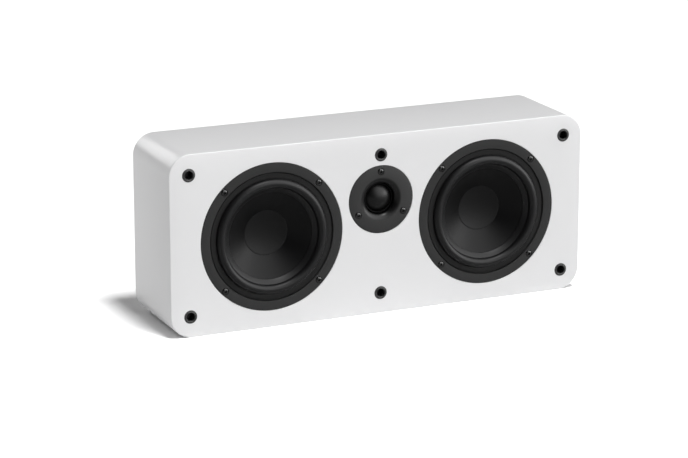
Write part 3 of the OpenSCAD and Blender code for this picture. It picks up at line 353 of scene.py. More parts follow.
@dataclass(frozen=True)
class Finish:
    """One procedural finish.

    Scale is the pattern's frequency per metre, relief the bump's depth in millimetres, and
    centre the axis in millimetres for turned patterns and for a middle of painted shade.
    """

    name: str
    slot: str
    colour: Colour
    roughness: float
    pattern: Pattern
    scale: float
    relief: float = 0.01
    spread: float = 0.1
    roughness_spread: float = 0.1
    metallic: float = 0.0
    specular: float = 0.5
    coat: float = 0.0
    coat_roughness: float = 0.2
    sheen: float = 0.0
    centre: Point2 = (0.0, 0.0)
    # A darker middle whose colour is painted shade in a recess
    painted_shade_core: PaintedShadeCore | None = None

    def material(self, kit: NodeKit) -> bpy.types.Material:
        """Builds the material, or returns the one already built.

        Args:
            kit: The shared node groups.

        Returns:
            The Blender material.
        """
        if self.name in kit.finishes:
            return kit.finishes[self.name]
        made = kit.finishes[self.name] = bpy.data.materials.new(self.name)
        made.use_nodes = True
        tree = made.node_tree
        shader = tree.nodes["Principled BSDF"]
        shader.inputs["Metallic"].default_value = self.metallic
        shader.inputs["Specular IOR Level"].default_value = self.specular
        shader.inputs["Coat Weight"].default_value = self.coat
        shader.inputs["Coat Roughness"].default_value = self.coat_roughness
        shader.inputs["Sheen Weight"].default_value = self.sheen
        pattern = tree.nodes.new("ShaderNodeGroup")
        pattern.node_tree = kit.get(self.pattern)
        pattern.inputs["Scale"].default_value = self.scale
        pattern.inputs["CentreX"].default_value = self.centre[0] * MM
        pattern.inputs["CentreZ"].default_value = self.centre[1] * MM
        tint = tree.nodes.new("ShaderNodeGroup")
        tint.node_tree = kit.tint()
        tint.inputs["Colour"].default_value = (*self.colour, 1.0)
        tint.inputs["Spread"].default_value = self.spread
        tint.inputs["Roughness"].default_value = self.roughness
        tint.inputs["Roughness Spread"].default_value = self.roughness_spread
        bump = tree.nodes.new("ShaderNodeBump")
        bump.inputs["Distance"].default_value = self.relief * MM
        tree.links.new(pattern.outputs["Mask"], tint.inputs["Mask"])
        tree.links.new(pattern.outputs["Height"], bump.inputs["Height"])
        tree.links.new(tint.outputs["Colour"], shader.inputs["Base Color"])
        tree.links.new(tint.outputs["Roughness"], shader.inputs["Roughness"])
        tree.links.new(bump.outputs["Normal"], shader.inputs["Normal"])
        # Darkens the middle's colour as painted shade and gives it its own roughness
        if self.painted_shade_core:
            self.fade_painted_shade_core(tree, self.painted_shade_core, pattern.outputs["Reach"], tint)
        made.diffuse_color = (*self.colour, 1.0)
        return made

    def fade_painted_shade_core(
        self, tree: bpy.types.NodeTree, painted_shade_core: PaintedShadeCore, reach: bpy.types.NodeSocket,
        tint: bpy.types.Node
    ) -> None:
        """Fades the middle's dark colour, which is painted shade, and its own roughness outwards.

        Args:
            tree: The material's tree.
            painted_shade_core: The middle's darker colour, which is painted shade, and its own roughness.
            reach: The distance from the centre, in metres.
            tint: The node that gives the outer colour and roughness.
        """
        fade = tree.nodes.new("ShaderNodeMapRange")
        fade.interpolation_type = "SMOOTHSTEP"
        fade.inputs["From Min"].default_value = painted_shade_core.inner_r * MM
        fade.inputs["From Max"].default_value = painted_shade_core.outer_r * MM
        tree.links.new(reach, fade.inputs["Value"])
        shader = tree.nodes["Principled BSDF"]
        for kind, near, far, target in (
            ("RGBA", (*painted_shade_core.colour, 1.0), tint.outputs["Colour"], "Base Color"),
            ("FLOAT", painted_shade_core.roughness, tint.outputs["Roughness"], "Roughness"),
        ):
            mix = tree.nodes.new("ShaderNodeMix")
            mix.data_type = kind
            factor, inner, outer = (i for i in mix.inputs if i.enabled)
            tree.links.new(fade.outputs["Result"], factor)
            inner.default_value = near
            tree.links.new(far, outer)
            tree.links.new(next(o for o in mix.outputs if o.enabled), shader.inputs[target])


LACQUER = Finish(
    "satin_white_lacquer", "white_lacquer", (0.8, 0.8, 0.806), 0.32, Pattern.PEEL, 420.0,
    relief=0.008, spread=0.012, roughness_spread=0.04,
)
BASKET_PAINT = Finish(
    "charcoal_basket_paint", "basket_paint", (0.029, 0.029, 0.029), 0.6, Pattern.GRAIN, 2600.0,
    relief=0.02, spread=0.2, roughness_spread=0.12, specular=0.08,
)
CLAMP_RING = Finish(
    "black_clamp_ring", "clamp_ring", (0.014, 0.014, 0.014), 0.5, Pattern.GRAIN, 2200.0,
    relief=0.015, spread=0.2, specular=0.065,
)
ROLL_RUBBER = Finish(
    "glossy_roll_rubber", "surround_rubber", (0.004, 0.004, 0.0042), 0.42, Pattern.SKIN, 1800.0,
    relief=0.003, spread=0.2, roughness_spread=0.04, specular=0.12,
)
CONE_BLACK = Finish(
    "satin_black_cone", "cone", (0.0012, 0.0012, 0.0013), 0.4, Pattern.GRAIN, 1500.0,
    relief=0.01, spread=0.4, roughness_spread=0.1, specular=0.065,
)
CAP_BLACK = Finish(
    "satin_black_cap", "dust_cap", (0.002, 0.002, 0.0021), 0.47, Pattern.GRAIN, 1500.0,
    relief=0.006, spread=0.4, roughness_spread=0.1, specular=0.08,
)
TWEETER_PLATE = Finish(
    "charcoal_tweeter_plate", "tweeter_plate", (0.028, 0.028, 0.028), 0.55, Pattern.GRAIN, 2600.0,
    relief=0.01, spread=0.18, roughness_spread=0.12, specular=0.12, centre=(0.0, 118.1),
    # The horn's throat is darkened towards black as painted shade; its lower roughness is the horn's
    # glossier finish
    painted_shade_core=PaintedShadeCore(20.4, 23.0, (0.0015, 0.0015, 0.0015), 0.34),
)
DOME_CLOTH = Finish(
    "coated_dome_cloth", "dome_cloth", (0.0015, 0.0015, 0.0015), 0.36, Pattern.WEAVE, 9000.0,
    relief=0.003, spread=0.3, roughness_spread=0.06, specular=0.12,
)
DOME_ROLL = Finish(
    "matt_dome_roll", "dome_cloth", (0.001, 0.001, 0.001), 0.6, Pattern.SKIN, 2400.0,
    relief=0.003, spread=0.2, specular=0.03,
)
SOCKET_RUBBER = Finish(
    "black_socket_rubber", "socket_rubber", (0.004, 0.004, 0.004), 0.42, Pattern.SKIN, 2400.0,
    relief=0.006, spread=0.2, specular=0.4,
)
BLACK_STEEL = Finish(
    "black_screw_steel", "black_screws", (0.001, 0.001, 0.001), 0.14, Pattern.GRAIN, 3000.0,
    relief=0.001, spread=0.2, roughness_spread=0.04, specular=0.28,
)
CUP_PLASTIC = Finish(
    "black_cup_plastic", "black_plastic", (0.014, 0.014, 0.014), 0.45, Pattern.GRAIN, 1700.0,
    relief=0.03, spread=0.25, roughness_spread=0.12,
)
POST_BRASS = Finish(
    "post_brass", "brass", (0.80, 0.58, 0.24), 0.24, Pattern.TURNED, 24000.0,
    relief=0.004, spread=0.12, metallic=1.0,
)
RED_PLASTIC = Finish(
    "red_cap_plastic", "red_plastic", (0.42, 0.008, 0.012), 0.28, Pattern.GRAIN, 900.0,
    relief=0.006, spread=0.1, coat=0.4, coat_roughness=0.12,
)
BLACK_GLOSS = Finish(
    "black_cap_plastic", "black_gloss", (0.012, 0.012, 0.012), 0.26, Pattern.GRAIN, 900.0,
    relief=0.006, spread=0.15, coat=0.4, coat_roughness=0.12,
)
ZINC = Finish(
    "zinc_plated_steel", "zinc_steel", (0.55, 0.56, 0.58), 0.34, Pattern.BRUSHED, 2600.0,
    relief=0.006, spread=0.2, roughness_spread=0.2, metallic=1.0,
)
FERRITE = Finish(
    "sintered_ferrite", "ferrite", (0.05, 0.05, 0.055), 0.6, Pattern.FIBRE, 1400.0, relief=0.03,
    spread=0.3,
)
COPPER = Finish(
    "enamelled_copper", "copper", (0.62, 0.24, 0.09), 0.3, Pattern.WINDING, 9000.0,
    relief=0.12, spread=0.3, metallic=1.0,
)
SPIDER_CLOTH = Finish(
    "phenolic_spider_cloth", "spider_cloth", (0.42, 0.28, 0.09), 0.8, Pattern.WEAVE, 6500.0,
    relief=0.06, spread=0.4, specular=0.2, sheen=0.2,
)
TAG_BOARD = Finish(
    "brown_tag_board", "tag_board", (0.28, 0.16, 0.08), 0.55, Pattern.FIBRE, 1800.0, relief=0.02,
    spread=0.3,
)
RAW_BOARD = Finish(
    "raw_fibre_board", "raw_board", (0.46, 0.33, 0.20), 0.85, Pattern.FIBRE, 700.0,
    relief=0.08, spread=0.35, specular=0.2,
)
WADDING = Finish(
    "grey_wadding", "wadding", (0.78, 0.78, 0.75), 0.95, Pattern.FIBRE, 240.0,
    relief=0.9, spread=0.2, specular=0.1, sheen=0.3,
)
CIRCUIT_BOARD = Finish(
    "green_circuit_board", "circuit_board", (0.03, 0.17, 0.06), 0.35, Pattern.WEAVE, 5000.0,
    relief=0.01, spread=0.25,
)
NYLON = Finish("nylon", "spacers", (0.74, 0.74, 0.70), 0.45, Pattern.SKIN, 800.0, spread=0.05)
BLUE_SLEEVE = Finish(
    "shrunk_blue_sleeve", "blue_sleeve", (0.02, 0.05, 0.24), 0.3, Pattern.SKIN, 700.0, spread=0.1,
    coat=0.3,
)
YELLOW_TAPE = Finish(
    "wound_yellow_tape", "yellow_tape", (0.66, 0.40, 0.03), 0.35, Pattern.BRUSHED, 900.0,
    spread=0.12,
)
CERAMIC = Finish(
    "white_ceramic", "ceramic", (0.72, 0.70, 0.62), 0.7, Pattern.FIBRE, 1500.0, relief=0.04,
    spread=0.12,
)
WIRE_SLEEVE = Finish(
    "soft_wire_sleeve", "wire_sleeve", (0.32, 0.015, 0.015), 0.42, Pattern.SKIN, 900.0, spread=0.1,
)

CARRIED_OVER: dict[Finish, tuple[str, ...]] = {
    LACQUER: ("rear_panel",),
    RAW_BOARD: ("cabinet_braces",),
    WADDING: ("wadding",),
    COPPER: (
        "woofer_left_voice_coil", "woofer_right_voice_coil", "tweeter_voice_coil",
        "woofer_inductor", "tweeter_inductor",
    ),
    ZINC: (
        "woofer_left_top_plate", "woofer_left_yoke", "woofer_right_top_plate", "woofer_right_yoke",
        "tweeter_top_plate", "tweeter_yoke", "crossover_screws", "hanger_plates",
    ),
    FERRITE: ("woofer_left_magnet", "woofer_right_magnet", "tweeter_magnet"),
    TAG_BOARD: ("woofer_left_terminals", "woofer_right_terminals", "tweeter_terminals"),
    CIRCUIT_BOARD: ("crossover_board",),
    NYLON: ("crossover_spacers",),
    BLUE_SLEEVE: ("woofer_capacitor",),
    YELLOW_TAPE: ("tweeter_capacitor",),
    CERAMIC: ("tweeter_resistor",),
    POST_BRASS: ("post_nuts",),
    WIRE_SLEEVE: ("input_wires", "woofer_wires", "tweeter_wires"),
}


# Mesh tools


@dataclass(frozen=True)
class Axis:
    """An axis square to the front face, through a point of it in millimetres."""

    x: float
    z: float

    def point(self, radius: float, depth: float, angle: float) -> Vector:
        """Returns the point at a radius, depth and angle, in metres.

        Args:
            radius: The distance from the axis in millimetres.
            depth: The depth behind the front face, in millimetres.
            angle: The angle round the axis, in radians.

        Returns:
            The point, in metres.
        """
        return Vector(
            (
                (self.x + radius * math.cos(angle)) * MM,
                (FRONT_Y + depth) * MM,
                (self.z + radius * math.sin(angle)) * MM,
            )
        )

    def around(self, reach: float, angle: float) -> Axis:
        """Returns the parallel axis at a reach in millimetres and an angle in degrees."""
        turn = math.radians(angle)
        return Axis(self.x + reach * math.cos(turn), self.z + reach * math.sin(turn))


def arc(centre: Point2, radius: float, start: float, end: float, steps: int) -> list[Point2]:
    """Returns points of a circle's arc.

    Args:
        centre: The circle's centre.
        radius: Its radius.
        start: The first angle in degrees.
        end: The last angle in degrees.
        steps: The number of steps between them.

    Returns:
        The points, both ends included.
    """
    return [
        (
            centre[0] + radius * math.cos(math.radians(start + (end - start) * k / steps)),
            centre[1] + radius * math.sin(math.radians(start + (end - start) * k / steps)),
        )
        for k in range(steps + 1)
    ]


def eased(points: Sequence[Point2], radii: Sequence[float], steps: int = 4) -> list[Point2]:
    """Rounds the corners of a closed outline.

    Args:
        points: The outline's corners.
        radii: The rounding wanted at each corner, zero for a sharp one.
        steps: The number of steps round each corner.

    Returns:
        The outline with its corners rounded.
    """
    result: list[Point2] = []
    count = len(points)
    for i, (here, radius) in enumerate(zip(points, radii)):
        if radius <= 0:
            result.append(here)
            continue
        corner = Vector(here)
        back = Vector(points[i - 1]) - corner
        ahead = Vector(points[(i + 1) % count]) - corner
        reach = min(radius, 0.45 * back.length, 0.45 * ahead.length)
        start = corner + back.normalized() * reach
        end = corner + ahead.normalized() * reach
        for k in range(steps + 1):
            t = k / steps
            p = start * (1 - t) ** 2 + corner * 2 * t * (1 - t) + end * t**2
            result.append((p.x, p.y))
    return result


def rounded_rectangle(
    width: float, height: float, radius: float, depth: float, centre: Axis, steps: int = 16
) -> list[Vector]:
    """Returns a rounded rectangle's points at a depth, anticlockwise from the right side.

    Args:
        width: The width in millimetres.
        height: The height in millimetres.
        radius: The corners' radius in millimetres.
        depth: The depth behind the front face, in millimetres.
        centre: The axis through its middle.
        steps: The number of steps round each corner.

    Returns:
        The points, in metres.
    """
    points = []
    for k, (sx, sz) in enumerate(((1, 1), (-1, 1), (-1, -1), (1, -1))):
        hub = Axis(
            centre.x + sx * (width / 2 - radius),
            centre.z + sz * (height / 2 - radius),
        )
        for i in range(steps + 1):
            points.append(hub.point(radius, depth, math.radians(90 * k + 90 * i / steps)))
    return points


def smooth(mesh: bpy.types.Mesh, crease: float) -> None:
    """Shades a mesh smooth, apart from edges bent by more than a crease in degrees."""
    mesh.shade_smooth()
    mesh.set_sharp_from_angle(angle=math.radians(crease))


def add_object(name: str, data: bpy.types.ID) -> bpy.types.Object:
    """Makes an object in the scene.

    Args:
        name: The object's name.
        data: Its mesh, lamp or camera.

    Returns:
        The new object.
    """
    made = bpy.data.objects.new(name, data)
    bpy.context.scene.collection.objects.link(made)
    return made


class Mesher:
    """Collects the rings and faces of one piece and turns them into an object."""

    def __init__(self, name: str) -> None:
        """Starts an empty mesh for the piece of that name."""
        self.name = name
        self.bm = bmesh.new()

    def ring(self, points: Iterable[Vector]) -> Ring:
        """Adds a closed ring of vertices and its edges.

        Args:
            points: The points in metres, in order.

        Returns:
            The ring's vertices.
        """
        verts = [self.bm.verts.new(p) for p in points]
        for a, b in zip(verts, verts[1:] + verts[:1]):
            self.bm.edges.new((a, b))
        return verts

    def circle(self, axis: Axis, radius: float, depth: float, segments: int) -> Ring:
        """Adds a ring round an axis.

        Args:
            axis: The axis that it stands on.
            radius: The ring's radius in millimetres.
            depth: The depth behind the front face, in millimetres.
            segments: The number of vertices.

        Returns:
            The ring's vertices.
        """
        return self.ring(
            axis.point(radius, depth, 2 * math.pi * k / segments) for k in range(segments)
        )

    def bridge(self, a: Ring, b: Ring) -> None:
        """Joins two rings of the same count with quads.

        Args:
            a: The first ring.
            b: The second ring.
        """
        for k in range(len(a)):
            n = (k + 1) % len(a)
            self.bm.faces.new((a[k], a[n], b[n], b[k]))

    def cap(self, ring: Ring) -> None:
        """Closes a ring with a fan of triangles round its middle.

        Args:
            ring: The ring to close.
        """
        middle = self.bm.verts.new(sum((v.co for v in ring), Vector()) / len(ring))
        for k in range(len(ring)):
            self.bm.faces.new((ring[k], ring[(k + 1) % len(ring)], middle))

    def fill(self, *rings: Ring) -> None:
        """Fills the flat area inside the first ring and outside the others."""
        edges = [
            self.bm.edges.get((ring[k], ring[(k + 1) % len(ring)]))
            for ring in rings
            for k in range(len(ring))
        ]
        bmesh.ops.triangle_fill(self.bm, use_beauty=True, use_dissolve=False, edges=edges)

    def rings(self, axis: Axis, profile: Sequence[Point2], segments: int) -> tuple[Ring, Ring]:
        """Adds a surface turned round an axis.

        Args:
            axis: The axis to turn about.
            profile: Radius and depth of each ring, in order.
            segments: Segments round the axis.

        Returns:
            The first ring and the last.
        """
        made = [self.circle(axis, r, d, segments) for r, d in profile]
        for a, b in zip(made, made[1:]):
            self.bridge(a, b)
        return made[0], made[-1]

    def turned(
        self,
        axis: Axis,
        outline: Sequence[Point2],
        segments: int,
        shape: Callable[[float, float, float], float] | None = None,
    ) -> None:
        """Adds a closed outline turned round an axis.

        Args:
            axis: The axis to turn about.
            outline: Radius and depth of each corner, in order round the outline.
            segments: Segments round the axis.
            shape: Changes a radius by radius, depth and angle, for ribs and flutes.
        """
        columns: list[list[bmesh.types.BMVert]] = []
        poles: dict[int, bmesh.types.BMVert] = {}
        for k in range(segments):
            angle = 2 * math.pi * k / segments
            column = []
            for i, (radius, depth) in enumerate(outline):
                if radius < 1e-6:
                    if i not in poles:
                        poles[i] = self.bm.verts.new(axis.point(0, depth, 0))
                    column.append(poles[i])
                    continue
                r = shape(radius, depth, angle) if shape else radius
                column.append(self.bm.verts.new(axis.point(r, depth, angle)))
            columns.append(column)
        count = len(outline)
        for k in range(segments):
            a, b = columns[k], columns[(k + 1) % segments]
            for i in range(count):
                j = (i + 1) % count
                corners = []
                for v in (a[i], a[j], b[j], b[i]):
                    if v not in corners:
                        corners.append(v)
                if len(corners) > 2:
                    self.bm.faces.new(corners)

    def finish(self, crease: float = 30.0) -> bpy.types.Object:
        """Closes the mesh and makes its object.

        Args:
            crease: Edges bent more sharply than this many degrees stay sharp.

        Returns:
            The new object, in the row's frame.
        """
        bmesh.ops.recalc_face_normals(self.bm, faces=self.bm.faces)
        mesh = bpy.data.meshes.new(self.name)
        self.bm.to_mesh(mesh)
        self.bm.free()
        smooth(mesh, crease)
        return add_object(self.name, mesh)


def carve(piece: bpy.types.Object, cutter: bpy.types.Object, crease: float = 30.0) -> None:
    """Cuts one closed mesh out of another and removes the cutter.

    Args:
        piece: The object to cut.
        cutter: The object whose shape is taken away.
        crease: Edges bent more sharply than this many degrees stay sharp.
    """
    modifier = piece.modifiers.new("carve", "BOOLEAN")
    modifier.operation = "DIFFERENCE"
    modifier.solver = "EXACT"
    modifier.object = cutter
    graph = bpy.context.evaluated_depsgraph_get()
    mesh = bpy.data.meshes.new_from_object(piece.evaluated_get(graph))
    piece.modifiers.clear()
    old, spent = piece.data, cutter.data
    name = old.name
    piece.data = mesh
    bpy.data.meshes.remove(old)
    mesh.name = name
    bpy.data.objects.remove(cutter)
    bpy.data.meshes.remove(spent)
    smooth(mesh, crease)


class Workshop:
    """Gives finished pieces their material, body and place in the frame."""

    def __init__(self, frame: dict) -> None:
        """Keeps the loaded frame and an empty set of node groups."""
        self.frame = frame
        self.kit = NodeKit()

    def dress(self, piece: bpy.types.Object, finish: Finish) -> None:
        """Puts one finish on a piece."""
        piece.data.materials.clear()
        piece.data.materials.append(finish.material(self.kit))

    def place(
        self, piece: bpy.types.Object, finish: Finish, body: str, replaces: Sequence[str] = ()
    ) -> bpy.types.Object:
        """Dresses a piece and lets it ride on a body.

        Args:
            piece: The piece, already in its place.
            finish: Its finish.
            body: The CAD body that it moves with.
            replaces: The CAD nodes that it stands for.

        Returns:
            The piece.
        """
        self.dress(piece, finish)
        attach(piece, body)
        if replaces:
            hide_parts(*replaces)
        LOG.info("%s: %d faces on %s", piece.name, len(piece.data.polygons), body)
        return piece

    def flex(
        self,
        piece: bpy.types.Object,
        finish: Finish,
        body: str,
        replaces: Sequence[str],
        axis: Axis,
        fixed_r: float,
        moving_r: float,
    ) -> bpy.types.Object:
        """Dresses a round piece that stretches between the cabinet and a moving body.

        Args:
            piece: The piece, already in its place.
            finish: Its finish.
            body: The moving CAD body.
            replaces: The CAD nodes that it stands for.
            axis: The piece's axis.
            fixed_r: The radius from which outwards it stays with the cabinet.
            moving_r: The radius from which inwards it follows the moving body.

        Returns:
            The piece.
        """
        self.dress(piece, finish)
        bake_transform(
            piece, "cabinet", body, start=axis.point(fixed_r, 0, 0), end=axis.point(moving_r, 0, 0)
        )
        weights = piece.data.attributes["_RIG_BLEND"]
        for vertex, value in zip(piece.data.vertices, weights.data):
            reach = math.hypot(vertex.co.x / MM - axis.x, vertex.co.z / MM - axis.z)
            t = min(1.0, max(0.0, (fixed_r - reach) / (fixed_r - moving_r)))
            value.value = t * t * (3 - 2 * t)
        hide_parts(*replaces)
        LOG.info("%s: %d faces between cabinet and %s", piece.name, len(piece.data.polygons), body)
        return piece

    def carry_over(self) -> None:
        """Gives the CAD nodes that stay their own materials."""
        for finish, nodes in CARRIED_OVER.items():
            material = finish.material(self.kit)
            for name in nodes:
                piece = self.frame["nodes"][name]
                for slot in piece.material_slots:
                    slot.material = material
            LOG.info("%s on %s", finish.name, ", ".join(nodes))


# Cabinet


@dataclass
class Cabinet:
    """The white box: a sleeve and a front baffle, finished as one lacquered body."""

    width: float = 450.0
    height: float = 185.0
    edge_r: float = 22.0
    arris: float = 0.9
    wall_t: float = 15.0
    baffle_t: float = 18.0
    rear_t: float = 12.0
    rear_seat_w: float = 5.0
    woofer_x: float = 117.5
    woofer_seat: tuple[Point2, ...] = (
        (75.7, 0.0), (75.5, 0.2), (75.5, 4.5), (65.9, 4.5), (65.9, 18.0)
    )
    tweeter_seat: tuple[Point2, ...] = (
        (35.25, 0.0), (35.1, 0.15), (35.1, 3.5), (24.8, 3.5), (24.8, 18.0)
    )
    socket_seat: tuple[Point2, ...] = (
        (6.85, 0.0), (6.75, 0.1), (6.75, 1.3), (5.35, 1.3), (5.35, 12.3)
    )
    tweeter_z: float = 118.1
    socket_x: float = 204.5
    socket_z: float = 71.5
    middle: Axis = field(default_factory=lambda: Axis(0.0, MIDDLE_Z))

    def sockets(self) -> list[Axis]:
        """Returns the axes of the six grille sockets.

        Returns:
            The six axes, column by column.
        """
        return [
            Axis(x, MIDDLE_Z + z)
            for x in (-self.socket_x, 0.0, self.socket_x)
            for z in (-self.socket_z, self.socket_z)
        ]

    def outline(self, inset: float, depth: float) -> list[Vector]:
        """Returns the cabinet's outline, drawn in by an inset, at a depth.

        Args:
            inset: How far each side is drawn in, in millimetres.
            depth: The depth behind the front face, in millimetres.

        Returns:
            The outline's points, in metres.
        """
        return rounded_rectangle(
            self.width - 2 * inset, self.height - 2 * inset, self.edge_r - inset, depth, self.middle
        )

    def build(self, shop: Workshop) -> None:
        """Builds the shell and dresses it.

        Args:
            shop: The workshop that dresses and places the pieces.
        """
        mesher = Mesher("cabinet_shell")
        steps = 5
        turns = [math.radians(90 * k / steps) for k in range(steps + 1)]
        insets = [self.arris * (1 - math.sin(turn)) for turn in turns]
        depths = [self.arris * (1 - math.cos(turn)) for turn in turns]
        front = [mesher.ring(self.outline(i, d)) for i, d in zip(insets, depths)]
        back = [mesher.ring(self.outline(d, CABINET_DEPTH - i)) for i, d in zip(insets, depths)]
        rear_depth = CABINET_DEPTH - self.rear_t
        inner_w, inner_h = self.width - 2 * self.wall_t, self.height - 2 * self.wall_t
        inner_r = self.edge_r - self.wall_t
        seat = [
            mesher.ring(
                rounded_rectangle(
                    inner_w + 2 * self.rear_seat_w, inner_h + 2 * self.rear_seat_w,
                    inner_r + self.rear_seat_w, depth, self.middle,
                )
            )
            for depth in (CABINET_DEPTH, rear_depth)
        ]
        inner = [
            mesher.ring(rounded_rectangle(inner_w, inner_h, inner_r, depth, self.middle))
            for depth in (rear_depth, self.baffle_t)
        ]
        chain = front + back + seat + inner
        for a, b in zip(chain, chain[1:]):
            mesher.bridge(a, b)
        mouths, backs = [], []
        for x in (-self.woofer_x, self.woofer_x):
            first, last = mesher.rings(Axis(x, MIDDLE_Z), self.woofer_seat, 192)
            mouths.append(first)
            backs.append(last)
        first, last = mesher.rings(Axis(0.0, self.tweeter_z), self.tweeter_seat, 128)
        mouths.append(first)
        backs.append(last)
        for axis in self.sockets():
            first, last = mesher.rings(axis, self.socket_seat, 64)
            mouths.append(first)
            mesher.cap(last)
        mesher.fill(front[0], *mouths)
        mesher.fill(inner[1], *backs)
        shop.place(mesher.finish(), LACQUER, "cabinet", ["cabinet_sleeve", "front_baffle"])


@dataclass
class GrilleSockets:
    """Six rubber cups with a raised lip, gripping ribs and a closed end."""

    axes: list[Axis]
    flange_r: float = 6.7
    sleeve_r: float = 5.3
    bore_r: float = 4.3
    relief_r: float = 4.8
    rib_r: float = 3.9
    ribs: int = 8
    rib_half_angle: float = 6.0

    def bore(self, radius: float, depth: float, angle: float) -> float:
        """Returns a bore's radius where its ribs stand, and the given one elsewhere.

        Args:
            radius: The outline's radius there, in millimetres.
            depth: Not used.
            angle: The angle round the axis, in radians.

        Returns:
            The bore's radius.
        """
        if abs(radius - self.relief_r) > 1e-6:
            return radius
        pitch = 360.0 / self.ribs
        off = abs((math.degrees(angle) + pitch / 2) % pitch - pitch / 2)
        t = min(1.0, max(0.0, (off - self.rib_half_angle) / 4.0))
        return self.rib_r + (self.relief_r - self.rib_r) * t * t * (3 - 2 * t)

    def build(self, shop: Workshop) -> None:
        """Builds all six sockets as one piece.

        Args:
            shop: The workshop that dresses and places the pieces.
        """
        outline = [
            (0.0, 10.5), (self.relief_r, 10.5), (self.relief_r, 2.05), (self.bore_r, 2.0),
            (self.bore_r, 0.0)
        ]
        outline += [(self.bore_r, -0.15), (self.bore_r + 0.15, -0.3), (self.bore_r + 0.3, -0.3)]
        outline += arc((4.95, -0.3), 0.35, 180, 360, 10)[1:-1]
        outline += [
            (5.3, -0.3), (6.4, -0.3), (6.6, -0.22), (self.flange_r, 0.0), (self.flange_r, 1.3)
        ]
        outline += [(self.sleeve_r, 1.3), (self.sleeve_r, 12.0), (0.0, 12.0)]
        mesher = Mesher("grille_socket_cups")
        for axis in self.axes:
            mesher.turned(axis, outline, 128, self.bore)
        shop.place(mesher.finish(), SOCKET_RUBBER, "cabinet", ["grille_sockets"])


# Screws

# Radius and depth of the sunk seat under each pan head, and radius of the hole below it
SEAT_R = 3.6
SEAT_DEPTH = 1.5
HOLE_R = 2.2
SCREW_CREASE = 35.0


class Head(Enum):
    """The two kinds of screw head on the outside of the speaker."""

    PAN = "domed"
    FLAT = "countersunk"


@dataclass(frozen=True)
class Screw:
    """A screw with a cross recess, made at the origin with its head's seat at zero."""

    head: Head
    head_r: float
    shank_r: float
    length: float
    head_h: float = 0.0

    def outline(self) -> list[Point2]:
        """Returns the screw's half outline, radius and depth.

        Returns:
            Radius and depth of each corner, from the head's top to the tip.
        """
        if self.head is Head.PAN:
            dome = [
                (
                    self.head_r * math.sin(math.radians(a)) ** 0.8,
                    -0.9 - (self.head_h - 0.9) * math.cos(math.radians(a)),
                )
                for a in range(10, 91, 10)
            ]
            top = [(0.0, -self.head_h), *dome, (self.head_r, -0.15), (self.head_r - 0.15, 0.0)]
            return [
                *top, (self.shank_r, 0.0), (self.shank_r, self.length - self.shank_r),
                (0.0, self.length)
            ]
        return [
            (0.0, 0.02), (self.head_r - 0.12, 0.02), (self.head_r, 0.12),
            (self.shank_r, self.head_r - self.shank_r), (self.shank_r, self.length - self.shank_r),
            (0.0, self.length),
        ]

    def recess(self) -> bpy.types.Object:
        """Returns the tapered cross that is cut into the head.

        Returns:
            The cutter, to be carved out of the head.
        """
        mesher = Mesher("cross_recess")
        rings = []
        for depth, reach, half in (
            (-self.head_h - 0.6, 0.7, 0.19), (-self.head_h + 0.62 * self.head_r, 0.34, 0.12)
        ):
            arm, side = reach * self.head_r, half * self.head_r
            rings.append([
                mesher.bm.verts.new(Vector((x * c - z * s, depth, x * s + z * c)) * MM)
                for c, s in ((1, 0), (0, 1), (-1, 0), (0, -1))
                for x, z in ((arm, side), (side, side), (side, arm))
            ])
            mesher.bm.faces.new(rings[-1])
        mesher.bridge(*rings)
        return mesher.finish()

    def mesh(self) -> bpy.types.Mesh:
        """Builds the screw once, at the origin.

        Returns:
            The screw's mesh.
        """
        mesher = Mesher(f"{self.head.name.lower()}_screw")
        outline = self.outline()
        mesher.turned(Axis(0.0, 0.0), [(r, d - FRONT_Y) for r, d in outline], 48)
        piece = mesher.finish(SCREW_CREASE)
        carve(piece, self.recess(), SCREW_CREASE)
        mesh = piece.data
        bpy.data.objects.remove(piece)
        return mesh

    def rows(
        self, shop: Workshop, name: str, places: Sequence[tuple[Axis, float, float, bool]],
        finish: Finish, node: str
    ) -> None:
        """Places copies of the screw as one piece.

        Args:
            shop: The workshop.
            name: The piece's name.
            places: Axis, depth of the seat, turn in degrees and whether it enters from the back.
            finish: The screws' finish.
            node: The CAD node that they stand for.
        """
        single = self.mesh()
        gathered = bmesh.new()
        for axis, depth, turn, from_back in places:
            copy = single.copy()
            spin = Matrix.Rotation(math.radians(turn), 4, "Y")
            flip = Matrix.Rotation(math.pi, 4, "Z") if from_back else Matrix.Identity(4)
            copy.transform(Matrix.Translation(axis.point(0, depth, 0)) @ flip @ spin)
            gathered.from_mesh(copy)
            bpy.data.meshes.remove(copy)
        bpy.data.meshes.remove(single)
        mesh = bpy.data.meshes.new(name)
        gathered.to_mesh(mesh)
        gathered.free()
        smooth(mesh, SCREW_CREASE)
        shop.place(add_object(name, mesh), finish, "cabinet", [node])


def seat_cutter(name: str, axis: Axis, spots: Sequence[Point2], through: float) -> Mesher:
    """Starts a cutter with a sunk seat and a hole at each spot.

    Args:
        name: The cutter's name.
        axis: The axis that the spots are measured from.
        spots: Radius and angle in degrees of each screw.
        through: Depth that the hole reaches.

    Returns:
        The mesher, so that more can be added.
    """
    mesher = Mesher(name)
    outline = [
        (0.0, -1.0), (SEAT_R + 1.1, -1.0), (SEAT_R + 0.1, 0.0), (SEAT_R, 0.1),
        (SEAT_R, SEAT_DEPTH), (HOLE_R, SEAT_DEPTH), (HOLE_R, through), (0.0, through),
    ]
    for reach, angle in spots:
        mesher.turned(axis.around(reach, angle), outline, 48)
    return mesher


# Woofers


